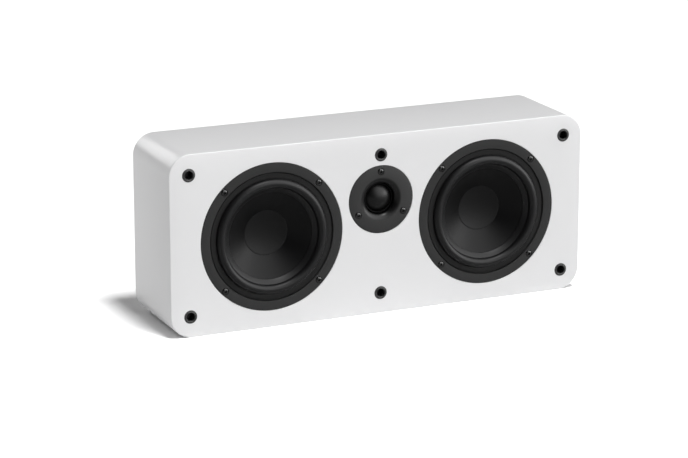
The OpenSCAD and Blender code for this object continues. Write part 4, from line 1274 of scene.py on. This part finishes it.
@dataclass
class Woofer:
    """A five-inch-class cone driver: basket, clamping ring, roll surround, cone and dust cap."""

    side: str
    x: float
    flange_r: float = 75.2
    ring_r: float = 65.6
    flange_t: float = 4.5
    ledge_r: float = 58.0
    ledge_depth: float = 3.0
    basket_t: float = 1.8
    shelf_depth: float = 31.28
    basket_depth: float = 43.78
    pot_r: float = 33.0
    shelf_out_r: float = 43.0
    screw_ring_r: float = 70.8
    roll_r: float = 53.95
    roll_w: float = 4.75
    roll_depth: float = 1.4
    rubber_t: float = 0.7
    lip_r: float = 44.2
    cone_r: float = 50.0
    cone_depth: float = 2.1
    cone_angle: float = 29.0
    cone_t: float = 0.7
    former_r: float = 12.7
    neck_depth: float = 26.78
    cap_r: float = 23.0
    cap_sag: float = 3.3
    cap_t: float = 0.6
    segments: int = 256
    screw_angles: tuple[float, ...] = (45.0, 135.0, 225.0, 315.0)

    @property
    def axis(self) -> Axis:
        """The driver's axis."""
        return Axis(self.x, MIDDLE_Z)

    @property
    def body(self) -> str:
        """The CAD body of the moving parts."""
        return f"woofer_{self.side}_diaphragm"

    def on_cone(self, radius: float) -> float:
        """Returns the depth of the cone's front at a radius."""
        return self.cone_depth + (self.cone_r - radius) * math.tan(math.radians(self.cone_angle))

    def build(self, shop: Workshop) -> None:
        """Builds the driver's visible parts and its cloth spider.

        Args:
            shop: The workshop that dresses and places the pieces.
        """
        self.build_basket(shop)
        self.build_clamp_ring(shop)
        self.build_surround(shop)
        self.build_cone(shop)
        self.build_dust_cap(shop)
        self.build_spider(shop)

    def build_basket(self, shop: Workshop) -> None:
        """Builds the cast frame with its screw seats and the windows between its spokes.

        Args:
            shop: The workshop that dresses and places the pieces.
        """
        t = self.basket_t
        top_r, low_r = self.ledge_r + t, self.shelf_out_r - t
        rise = (top_r - low_r) / (self.shelf_depth - self.ledge_depth - t)
        side_w = t * math.sqrt(1 + rise * rise)
        hole_r = 13.75 + t
        corners = [
            ((self.ring_r, 0.0), 0.3),
            ((self.flange_r, 0.0), 0.6),
            ((self.flange_r, self.flange_t), 0.0),
            ((top_r + side_w, self.flange_t), 0.0),
            ((low_r + side_w, self.shelf_depth + t), 0.8),
            ((self.pot_r, self.shelf_depth + t), 0.8),
            ((self.pot_r, self.basket_depth), 0.8),
            ((hole_r, self.basket_depth), 0.0),
            ((hole_r, self.basket_depth - t), 0.0),
            ((self.pot_r - t, self.basket_depth - t), 0.8),
            ((self.pot_r - t, self.shelf_depth), 0.4),
            ((low_r, self.shelf_depth), 0.8),
            ((top_r, self.ledge_depth + t), 0.4),
            ((self.ledge_r, self.ledge_depth + t), 0.0),
            ((self.ledge_r, self.ledge_depth), 0.0),
            ((self.ring_r, self.ledge_depth), 0.0),
        ]
        mesher = Mesher(f"woofer_{self.side}_frame")
        mesher.turned(
            self.axis, eased([c for c, _ in corners], [r for _, r in corners]), self.segments
        )
        piece = mesher.finish()
        spots = [(self.screw_ring_r, angle) for angle in self.screw_angles]
        cutter = seat_cutter("frame_cuts", self.axis, spots, self.flange_t + 1)
        self.add_windows(cutter)
        carve(piece, cutter.finish())
        shop.place(piece, BASKET_PAINT, "cabinet", [f"woofer_{self.side}_basket"])

    def add_windows(self, cutter: Mesher) -> None:
        """Adds the six ring sectors that open the basket's side.

        Args:
            cutter: The mesh to add them to.
        """
        low = self.shelf_out_r + 2 * self.basket_t
        high = low + 22.9
        near = self.flange_t + 2 * self.basket_t
        far = near + self.shelf_depth - self.flange_t
        steps = 20
        for i in range(6):
            start = (i + 0.17) * 60.0
            slices = []
            for k in range(steps + 1):
                angle = -math.radians(start + 0.66 * 60.0 * k / steps)
                slices.append(
                    [
                        cutter.bm.verts.new(self.axis.point(r, d, angle))
                        for r, d in ((low, near), (high, near), (high, far), (low, far))
                    ]
                )
            cutter.bm.faces.new(slices[0])
            cutter.bm.faces.new(slices[-1])
            for a, b in zip(slices, slices[1:]):
                cutter.bridge(a, b)

    def build_clamp_ring(self, shop: Workshop) -> None:
        """Builds the dark ring that clamps the surround, a groove away from the flange.

        Args:
            shop: The workshop that dresses and places the pieces.
        """
        inner, outer = self.roll_r + self.roll_w + 0.3, self.ring_r - 1.1
        corners = [(inner, 1.4), (outer, 1.4), (outer, 2.3), (inner, 2.3)]
        mesher = Mesher(f"woofer_{self.side}_clamp")
        mesher.turned(self.axis, eased(corners, [0.25, 0.3, 0.0, 0.0]), self.segments)
        shop.place(mesher.finish(), CLAMP_RING, "cabinet", [f"woofer_{self.side}_clamp_ring"])

    def build_surround(self, shop: Workshop) -> None:
        """Builds the rubber half roll, its outer lip on the ledge and its inner lip on the cone.

        Args:
            shop: The workshop that dresses and places the pieces.
        """
        hub = (self.roll_r, self.roll_depth)
        slope_t = self.rubber_t / math.cos(math.radians(self.cone_angle))
        outer, inner = self.roll_r + self.roll_w, self.roll_r - self.roll_w
        outline = [(64.5, 3.0), (64.5, 2.3), (outer, 2.3)]
        outline += arc(hub, self.roll_w, 0, -180, 40)
        outline += [
            (inner - 0.08, self.on_cone(inner) - slope_t - 0.1),
            (inner - 0.45, self.on_cone(inner - 0.45) - slope_t),
            (self.lip_r + 0.25, self.on_cone(self.lip_r + 0.25) - slope_t),
            (self.lip_r, self.on_cone(self.lip_r) - slope_t + 0.25),
            (self.lip_r, self.on_cone(self.lip_r)),
            (inner + self.rubber_t, self.on_cone(inner + self.rubber_t)),
        ]
        outline += arc(hub, self.roll_w - self.rubber_t, -180, 0, 32)
        outline += [(self.ledge_r, 3.0)]
        mesher = Mesher(f"woofer_{self.side}_roll")
        mesher.turned(self.axis, outline, self.segments)
        shop.flex(
            mesher.finish(45.0), ROLL_RUBBER, self.body, [f"woofer_{self.side}_surround"],
            self.axis, outer - self.rubber_t, inner + self.rubber_t,
        )

    def build_cone(self, shop: Workshop) -> None:
        """Builds the straight-sided cone and its glued neck.

        Args:
            shop: The workshop that dresses and places the pieces.
        """
        slope_t = self.cone_t / math.cos(math.radians(self.cone_angle))
        neck_r = self.former_r + self.cone_t
        outline = [
            (self.cone_r, self.cone_depth),
            (self.cone_r, self.cone_depth + slope_t),
            (neck_r, self.on_cone(neck_r) + slope_t),
            (neck_r, self.neck_depth),
            (self.former_r, self.neck_depth),
            (self.former_r, self.on_cone(self.former_r)),
        ]
        steps = 12
        span = self.cone_r - self.former_r
        outline += [
            (self.former_r + span * k / steps, self.on_cone(self.former_r + span * k / steps))
            for k in range(1, steps)
        ]
        mesher = Mesher(f"woofer_{self.side}_paper")
        mesher.turned(self.axis, outline, self.segments)
        shop.place(mesher.finish(), CONE_BLACK, self.body, [f"woofer_{self.side}_cone"])

    def build_dust_cap(self, shop: Workshop) -> None:
        """Builds the hollow cap, whose rim lies on the cone.

        Args:
            shop: The workshop that dresses and places the pieces.
        """
        ball_r = (self.cap_r**2 + self.cap_sag**2) / (2 * self.cap_sag)
        hub = self.on_cone(self.cap_r) + self.cap_sag - ball_r
        rim_lift, rim_in = 0.22, self.cap_r - 0.3
        front = [
            (r, hub + math.sqrt(ball_r**2 - r * r) - rim_lift)
            for r in (rim_in * k / 16 for k in range(17))
        ]
        back_r = self.cap_r
        while hub + math.sqrt((ball_r + self.cap_t) ** 2 - back_r**2) > self.on_cone(back_r):
            back_r -= 0.02
        outline = [*front, (self.cap_r - 0.06, self.on_cone(self.cap_r) - 0.12)]
        outline += [(self.cap_r, self.on_cone(self.cap_r)), (back_r, self.on_cone(back_r))]
        outline += [
            (r, hub + math.sqrt((ball_r + self.cap_t) ** 2 - r * r))
            for r in (back_r * k / 12 for k in range(11, -1, -1))
        ]
        mesher = Mesher(f"woofer_{self.side}_cap")
        mesher.turned(self.axis, outline, self.segments)
        shop.place(mesher.finish(24.0), CAP_BLACK, self.body, [f"woofer_{self.side}_dust_cap"])

    def build_spider(self, shop: Workshop) -> None:
        """Builds the waved cloth disc that centres the voice coil.

        Args:
            shop: The workshop that dresses and places the pieces.
        """
        flat = self.shelf_depth - 0.5
        inner, outer, rim = self.former_r + 0.5, self.pot_r - self.basket_t, 40.9
        steps = 64
        front = [(self.former_r, flat)]
        front += [
            (
                inner + (outer - inner) * k / steps,
                flat - 1.1 * math.sin(2 * math.pi * 4 * k / steps),
            )
            for k in range(steps + 1)
        ]
        front += [(rim, flat)]
        back = [(r, d + 0.5) for r, d in reversed(front)]
        mesher = Mesher(f"woofer_{self.side}_centring_disc")
        mesher.turned(self.axis, front + back, 96)
        shop.flex(
            mesher.finish(50.0), SPIDER_CLOTH, self.body, [f"woofer_{self.side}_spider"], self.axis,
            outer, inner
        )


# Tweeter


@dataclass
class Tweeter:
    """A one-inch dome in a short horn."""

    axis: Axis = field(default_factory=lambda: Axis(0.0, 118.1))
    plate_r: float = 34.8
    plate_t: float = 3.5
    boss_r: float = 24.5
    boss_depth: float = 7.0
    horn_r: float = 23.0
    flare_r: float = 8.0
    throat_r: float = 16.2
    dome_r: float = 13.6
    dome_h: float = 5.5
    cloth_t: float = 0.3
    screw_ring_r: float = 28.4
    screw_angles: tuple[float, ...] = (90.0, 210.0, 330.0)

    def build(self, shop: Workshop) -> None:
        """Builds the plate with its horn, the dome and the dome's roll.

        Args:
            shop: The workshop that dresses and places the pieces.
        """
        self.build_plate(shop)
        self.build_dome(shop)
        self.build_roll(shop)

    def build_plate(self, shop: Workshop) -> None:
        """Builds the flush plate, its curved horn and its screw seats.

        Args:
            shop: The workshop that dresses and places the pieces.
        """
        throat_turn = math.degrees(math.acos((self.horn_r - self.throat_r) / self.flare_r))
        flare = [
            (
                self.horn_r - self.flare_r * math.cos(math.radians(a)),
                self.flare_r - self.flare_r * math.sin(math.radians(a)),
            )
            for a in (throat_turn + (90.0 - throat_turn) * k / 28 for k in range(29))
        ]
        outline = flare + [
            (self.plate_r - 0.6, 0.0), (self.plate_r - 0.18, 0.16), (self.plate_r, 0.6)
        ]
        outline += [
            (self.plate_r, self.plate_t), (self.boss_r, self.plate_t),
            (self.boss_r, self.boss_depth)
        ]
        outline += [(self.throat_r, self.boss_depth)]
        mesher = Mesher("tweeter_plate")
        mesher.turned(self.axis, outline, 192)
        piece = mesher.finish()
        spots = [(self.screw_ring_r, angle) for angle in self.screw_angles]
        carve(piece, seat_cutter("plate_cuts", self.axis, spots, self.plate_t + 1).finish())
        shop.place(piece, TWEETER_PLATE, "cabinet", ["tweeter_faceplate"])

    def build_dome(self, shop: Workshop) -> None:
        """Builds the thin coated dome.

        Args:
            shop: The workshop that dresses and places the pieces.
        """
        ball_r = (self.dome_r**2 + self.dome_h**2) / (2 * self.dome_h)
        hub = self.boss_depth - self.dome_h + ball_r
        edge = math.degrees(math.asin(self.dome_r / ball_r))
        front = [(ball_r * math.sin(math.radians(a)), hub - ball_r * math.cos(math.radians(a)))
                 for a in (edge * k / 28 for k in range(29))]
        front[0] = (0.0, front[0][1])
        thin = ball_r - self.cloth_t
        end = math.degrees(math.acos((hub - self.boss_depth) / thin))
        back = [(thin * math.sin(math.radians(a)), hub - thin * math.cos(math.radians(a)))
                for a in (end * k / 20 for k in range(20, -1, -1))]
        back[-1] = (0.0, back[-1][1])
        mesher = Mesher("tweeter_dome_cloth")
        mesher.turned(self.axis, front + back, 128)
        shop.place(mesher.finish(40.0), DOME_CLOTH, "tweeter_diaphragm", ["tweeter_dome"])

    def build_roll(self, shop: Workshop) -> None:
        """Builds the thin half roll between the dome and the plate.

        Args:
            shop: The workshop that dresses and places the pieces.
        """
        outer = self.throat_r - 0.3
        half = (outer - self.dome_r) / 2
        hub = (self.dome_r + half, self.boss_depth)
        outline = [
            (self.dome_r - 0.4, self.boss_depth + self.cloth_t),
            (self.dome_r - 0.4, self.boss_depth)
        ]
        outline += arc(hub, half, 180, 360, 20)
        outline += [
            (outer + 3.0, self.boss_depth), (outer + 3.0, self.boss_depth + 0.5),
            (outer - 0.3, self.boss_depth + 0.5)
        ]
        outline += arc(hub, half - self.cloth_t, 360, 180, 16)
        outline += [(self.dome_r + self.cloth_t, self.boss_depth + self.cloth_t)]
        mesher = Mesher("tweeter_roll")
        mesher.turned(self.axis, outline, 128)
        shop.flex(
            mesher.finish(45.0), DOME_ROLL, "tweeter_diaphragm", ["tweeter_surround"],
            self.axis, outer - 0.3, self.dome_r,
        )


# Rear


@dataclass
class RearTerminals:
    """The recessed cup in the back with its two binding posts."""

    axis: Axis = field(default_factory=lambda: Axis(0.0, 46.0))
    flange_w: float = 64.0
    flange_t: float = 2.5
    corner_r: float = 6.0
    dish_r: float = 24.0
    dish_floor_r: float = 21.0
    dish_depth: float = 20.0
    wall_t: float = 2.5
    post_pitch: float = 19.05
    post_hole_r: float = 3.05
    boss_h: float = 1.5
    boss_r: float = 5.0
    screw_spot: float = 27.0
    stud_r: float = 3.0
    stud_start: float = 73.5
    stud_end: float = 95.6
    collar_r: float = 5.0
    collar_h: float = 2.0
    thread_pitch: float = 1.0
    thread_depth: float = 0.45
    thread_step: float = 0.125
    wire_hole_r: float = 1.2
    wire_hole_rise: float = 1.5

    def posts(self) -> list[Axis]:
        """Returns the axes of the black post and the red post."""
        return [Axis(side * self.post_pitch / 2, self.axis.z) for side in (-1, 1)]

    def screws(self) -> list[Axis]:
        """Returns the axes of the cup's four screws.

        Returns:
            The four axes.
        """
        return [
            Axis(self.axis.x + sx * self.screw_spot, self.axis.z + sz * self.screw_spot)
            for sx in (-1, 1)
            for sz in (-1, 1)
        ]

    def build(self, shop: Workshop) -> None:
        """Builds the moulded cup.

        Args:
            shop: The workshop that dresses and places the pieces.
        """
        back = CABINET_DEPTH
        floor = back - self.dish_depth
        mesher = Mesher("terminal_dish")

        def square(inset: float, depth: float) -> Ring:
            """Adds the flange's outline, drawn in by an inset."""
            w = self.flange_w - 2 * inset
            return mesher.ring(rounded_rectangle(w, w, self.corner_r - inset, depth, self.axis, 8))

        rim = [
            square(0.5, back), square(0.15, back - 0.15), square(0.0, back - 0.5),
            square(0.0, back - self.flange_t)
        ]
        for a, b in zip(rim, rim[1:]):
            mesher.bridge(a, b)
        dish = [
            (self.dish_r + 0.6, back), (self.dish_r + 0.15, back - 0.15), (self.dish_r, back - 0.6)
        ]
        dish += [
            (self.dish_floor_r + 1.0, floor + 2.2), (self.dish_floor_r - 0.2, floor + 0.5),
            (self.dish_floor_r - 1.4, floor)
        ]
        mouth, low = mesher.rings(self.axis, dish, 128)
        holes, floor_holes = [], []
        for spot in self.screws():
            first, last = mesher.rings(
                spot, [(2.65, back), (1.45, back - 1.2), (1.45, back - self.flange_t)], 32
            )
            holes.append(first)
            floor_holes.append(last)
        mesher.fill(rim[0], mouth, *holes)
        bosses, ends = [], []
        for post in self.posts():
            first, last = mesher.rings(
                post,
                [
                    (self.boss_r, floor), (self.boss_r, floor + self.boss_h - 0.2),
                    (self.boss_r - 0.2, floor + self.boss_h),
                    (self.post_hole_r, floor + self.boss_h),
                    (self.post_hole_r, floor - self.wall_t),
                ],
                48,
            )
            bosses.append(first)
            ends.append(last)
        mesher.fill(low, *bosses)
        outside = [
            (self.dish_r + self.wall_t, back - self.flange_t),
            (self.dish_floor_r + self.wall_t, floor - self.wall_t),
        ]
        top, bottom = mesher.rings(self.axis, outside, 128)
        mesher.fill(rim[-1], top, *floor_holes)
        mesher.fill(bottom, *ends)
        shop.place(mesher.finish(), CUP_PLASTIC, "cabinet", ["terminal_cup"])
        self.build_posts(shop)

    def build_posts(self, shop: Workshop) -> None:
        """Builds the threaded studs with their collars and wire holes.

        Args:
            shop: The workshop that dresses and places the pieces.
        """
        collar = CABINET_DEPTH - self.dish_depth + self.boss_h
        start, top, end = self.stud_start, collar + self.collar_h, self.stud_end
        stud, rim, step = self.stud_r, self.collar_r, self.thread_step

        def thread(radius: float, depth: float, angle: float) -> float:
            """Returns the stud's radius on its winding thread.

            Args:
                radius: The outline's radius there, in millimetres.
                depth: The depth behind the front face, in millimetres.
                angle: The angle round the axis, in radians.

            Returns:
                The stud's radius.
            """
            outside = top + 0.3 < depth < end - 0.2
            inside = start + 0.2 < depth < start + 6.0
            if radius > stud or not (outside or inside):
                return radius
            phase = (depth / self.thread_pitch + angle / (2 * math.pi)) % 1.0
            return radius - self.thread_depth * abs(2 * phase - 1)

        outline = [(0.0, start), (stud - 0.4, start)]
        outline += [(stud, start + 0.3 + step * k) for k in range(46)]
        outline += [(stud, collar), (rim - 0.2, collar), (rim, collar + 0.2)]
        outline += [(rim, top - 0.25), (rim - 0.25, top), (stud, top)]
        outline += [(stud, top + step * (k + 1)) for k in range(int((end - 0.4 - top) / step))]
        outline += [(stud - 0.5, end), (0.0, end)]
        mesher = Mesher("binding_post_studs")
        for post in self.posts():
            mesher.turned(post, outline, 48, thread)
        piece = mesher.finish(60.0)
        cutter = Mesher("wire_holes")
        turns = [2 * math.pi * k / 32 for k in range(32)]
        level, hole_r = FRONT_Y + top + self.wire_hole_rise, self.wire_hole_r
        for post in self.posts():
            hole = [
                cutter.ring(
                    Vector(
                        (
                            (post.x + x) * MM,
                            (level + hole_r * math.cos(turn)) * MM,
                            (post.z + hole_r * math.sin(turn)) * MM,
                        )
                    )
                    for turn in turns
                )
                for x in (-2 * self.stud_r, 2 * self.stud_r)
            ]
            cutter.bridge(*hole)
            for ring in hole:
                cutter.cap(ring)
        carve(piece, cutter.finish(), 60.0)
        shop.place(piece, POST_BRASS, "cabinet", ["binding_posts"])


@dataclass
class PostCap:
    """A fluted cap and the washer that it presses on the wire."""

    colour: str
    axis: Axis
    finish: Finish
    washer_depth: float = 85.5
    washer_t: float = 1.0
    washer_r: float = 5.6
    washer_gap: float = 0.03
    bore_r: float = 3.05
    cap_r: float = 7.0
    cap_h: float = 11.0
    flutes: int = 12
    flute_r: float = 1.2

    def fluted(self, radius: float, depth: float, angle: float) -> float:
        """Returns the cap's radius where its finger grooves are.

        Args:
            radius: The outline's radius there, in millimetres.
            depth: The depth behind the front face, in millimetres.
            angle: The angle round the axis, in radians.

        Returns:
            The cap's radius.
        """
        local = depth - self.washer_depth - self.washer_t
        if radius < self.cap_r - 0.9 or local < self.flute_r:
            return radius
        pitch = 2 * math.pi / self.flutes
        off = (angle + pitch / 2) % pitch - pitch / 2
        reach = self.cap_r + self.flute_r / 2
        inside = self.flute_r**2 - (reach * math.sin(off)) ** 2
        if inside <= 0:
            return radius
        return min(radius, reach * math.cos(off) - math.sqrt(inside))

    def build(self, shop: Workshop) -> None:
        """Builds the washer and the cap.

        Args:
            shop: The workshop that dresses and places the pieces.
        """
        near, far = self.washer_depth, self.washer_depth + self.washer_t
        face = far - self.washer_gap
        washer = eased(
            [
                (self.bore_r, near), (self.washer_r, near), (self.washer_r, face),
                (self.bore_r, face)
            ],
            [0.1, 0.25, 0.25, 0.1],
        )
        mesher = Mesher(f"{self.colour}_washer")
        mesher.turned(self.axis, washer, 96)
        shop.place(
            mesher.finish(), POST_BRASS, f"{self.colour}_clamp", [f"{self.colour}_clamp_washer"]
        )
        end = far + self.cap_h
        outline = [
            (self.bore_r, far), (self.cap_r - 0.3, far), (self.cap_r - 0.08, far + 0.1),
            (self.cap_r, far + 0.35)
        ]
        outline += [(self.cap_r, far + 1.15), (self.cap_r, far + 1.25)]
        outline += [(self.cap_r, far + 1.25 + (self.cap_h - 2.6) * k / 6) for k in range(1, 7)]
        outline += [
            (6.93, end - 0.9), (6.7, end - 0.45), (6.3, end - 0.15), (5.8, end), (4.6, end),
            (4.3, end - 0.35)
        ]
        outline += [(0.0, end - 0.35), (0.0, end - 1.6), (self.bore_r, end - 1.6)]
        mesher = Mesher(f"{self.colour}_knob")
        mesher.turned(self.axis, outline, 240, self.fluted)
        shop.place(mesher.finish(28.0), self.finish, f"{self.colour}_cap", [f"{self.colour}_cap"])


@dataclass
class WallHangers:
    """Two keyhole plates let into the back."""

    x: float = 150.0
    z: float = 148.0
    screw_spot: float = 17.0

    def screws(self) -> list[Axis]:
        """Returns the axes of the four hanger screws.

        Returns:
            The four axes.
        """
        return [
            Axis(side * self.x, self.z + end * self.screw_spot)
            for side in (-1, 1)
            for end in (-1, 1)
        ]


# Studio


@dataclass
class Studio:
    """Pale floor, soft lamps and the camera at the photograph's viewing angle."""

    camera_at: tuple[float, float, float] = (-1.1553, -2.5619, 0.8553)
    camera_way: tuple[float, float, float] = (0.39082, 0.88072, -0.26756)
    lens: float = 150.05
    sensor_w: float = 36.0
    ambient: float = 0.09
    lamps: tuple[tuple[str, tuple[float, float, float], float, float], ...] = (
        ("top", (0.085, -0.32, 0.944), 2.55, 11.0),
        ("key", (0.85, -0.52, 0.09), 1.35, 26.0),
        ("rear", (-0.26, 0.88, 0.38), 0.55, 30.0),
    )
    panel_way: tuple[float, float, float] = (0.715, -0.565, 0.41)
    panel_reach: tuple[float, float] = (65.0, 12.0)
    panel_strength: float = 7.5
    floor_half: float = 9.0
    floor_plain: float = 0.88
    floor_seen: float = 1.22

    def build(self) -> None:
        """Builds everything that isn't part of the speaker."""
        self.build_camera()
        self.build_lamps()
        self.build_room()
        self.build_floor()

    def build_camera(self) -> None:
        """Sets the camera that the photograph was solved for."""
        data = bpy.data.cameras.new("camera")
        data.lens = self.lens
        data.sensor_width = self.sensor_w
        data.sensor_fit = "HORIZONTAL"
        camera = add_object("camera", data)
        camera.location = self.camera_at
        camera.rotation_euler = Vector(self.camera_way).to_track_quat("-Z", "Y").to_euler()
        bpy.context.scene.camera = camera

    def build_lamps(self) -> None:
        """Sets the far soft lamps."""
        for name, way, strength, spread in self.lamps:
            data = bpy.data.lights.new(name, "SUN")
            data.energy = strength
            data.angle = math.radians(spread)
            lamp = add_object(name, data)
            lamp.rotation_euler = Vector(way).to_track_quat("Z", "Y").to_euler()

    def build_room(self) -> None:
        """Sets the even light of the room and the soft panel that gloss reflects."""
        world = bpy.data.worlds.new("room")
        world.use_nodes = True
        tree = world.node_tree
        place = tree.nodes.new("ShaderNodeTexCoord")
        facing = tree.nodes.new("ShaderNodeVectorMath")
        facing.operation = "DOT_PRODUCT"
        facing.inputs[1].default_value = Vector(self.panel_way).normalized()
        panel = tree.nodes.new("ShaderNodeMapRange")
        panel.interpolation_type = "SMOOTHSTEP"
        edge, middle = (math.cos(math.radians(angle)) for angle in self.panel_reach)
        panel.inputs["From Min"].default_value = edge
        panel.inputs["From Max"].default_value = middle
        panel.inputs["To Max"].default_value = self.panel_strength
        path = tree.nodes.new("ShaderNodeLightPath")
        total = tree.nodes.new("ShaderNodeMath")
        total.operation = "MULTIPLY_ADD"
        total.inputs[2].default_value = self.ambient
        tree.links.new(place.outputs["Generated"], facing.inputs[0])
        tree.links.new(facing.outputs["Value"], panel.inputs["Value"])
        tree.links.new(panel.outputs["Result"], total.inputs[0])
        tree.links.new(path.outputs["Is Glossy Ray"], total.inputs[1])
        tree.links.new(total.outputs[0], tree.nodes["Background"].inputs["Strength"])
        tree.nodes["Background"].inputs["Color"].default_value = (1.0, 1.0, 1.0, 1.0)
        bpy.context.scene.world = world

    def build_floor(self) -> None:
        """Builds the floor, which the camera sees as white where light reaches it."""
        half = self.floor_half
        mesh = bpy.data.meshes.new("floor")
        corners = [(-half, -half, 0.0), (half, -half, 0.0), (half, half, 0.0), (-half, half, 0.0)]
        mesh.from_pydata(corners, [], [(0, 1, 2, 3)])
        mesh.materials.append(self.floor_paint())
        add_object("floor", mesh)

    def floor_paint(self) -> bpy.types.Material:
        """Makes the floor's material, lighter to the rays that show it than to those it lights.

        Returns:
            The material.
        """
        material = bpy.data.materials.new("pale_floor")
        material.use_nodes = True
        tree = material.node_tree
        tree.nodes.remove(tree.nodes["Principled BSDF"])
        mix = tree.nodes.new("ShaderNodeMixShader")
        for shade, socket in zip((self.floor_plain, self.floor_seen), mix.inputs[1:]):
            paint = tree.nodes.new("ShaderNodeBsdfDiffuse")
            paint.inputs["Color"].default_value = (shade, shade, shade, 1.0)
            tree.links.new(paint.outputs[0], socket)
        path = tree.nodes.new("ShaderNodeLightPath")
        shows = path.outputs["Is Camera Ray"]
        for kind in ("Is Glossy Ray", "Is Transmission Ray"):
            either = tree.nodes.new("ShaderNodeMath")
            either.operation = "MAXIMUM"
            tree.links.new(shows, either.inputs[0])
            tree.links.new(path.outputs[kind], either.inputs[1])
            shows = either.outputs[0]
        tree.links.new(shows, mix.inputs["Fac"])
        tree.links.new(mix.outputs[0], tree.nodes["Material Output"].inputs["Surface"])
        return material


def main() -> None:
    """Builds the speaker and its studio in order."""
    logging.basicConfig(level=logging.INFO, format="%(name)s: %(message)s")
    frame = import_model()
    scene = bpy.context.scene
    scene.view_settings.view_transform = "Standard"
    Studio().build()
    shop = Workshop(frame)
    shop.carry_over()
    cabinet = Cabinet()
    cabinet.build(shop)
    GrilleSockets(cabinet.sockets()).build(shop)
    woofers = [Woofer("left", -cabinet.woofer_x), Woofer("right", cabinet.woofer_x)]
    for woofer in woofers:
        woofer.build(shop)
    tweeter = Tweeter()
    tweeter.build(shop)
    pan = Screw(Head.PAN, 3.1, 1.9, 14.0, 2.1)
    spots = [
        (w.axis.around(w.screw_ring_r, a), SEAT_DEPTH, 17.0 * k, False)
        for w in woofers
        for k, a in enumerate(w.screw_angles)
    ]
    pan.rows(shop, "woofer_fixing_screws", spots, BLACK_STEEL, "woofer_screws")
    spots = [
        (tweeter.axis.around(tweeter.screw_ring_r, a), SEAT_DEPTH, 20.0 + 23.0 * k, False)
        for k, a in enumerate(tweeter.screw_angles)
    ]
    pan.rows(shop, "tweeter_fixing_screws", spots, BLACK_STEEL, "tweeter_screws")
    terminals = RearTerminals()
    terminals.build(shop)
    black, red = terminals.posts()
    PostCap("red", red, RED_PLASTIC).build(shop)
    PostCap("black", black, BLACK_GLOSS).build(shop)
    flat = Screw(Head.FLAT, 2.6, 1.4, 8.0)
    flat.rows(
        shop, "terminal_fixing_screws",
        [(a, CABINET_DEPTH, 31.0 * k, True) for k, a in enumerate(terminals.screws())],
        BLACK_STEEL, "terminal_cup_screws",
    )
    flat.rows(
        shop, "hanger_fixing_screws",
        [(a, CABINET_DEPTH, 12.0 + 27.0 * k, True) for k, a in enumerate(WallHangers().screws())],
        ZINC, "hanger_screws",
    )


if __name__ == "__main__":
    main()
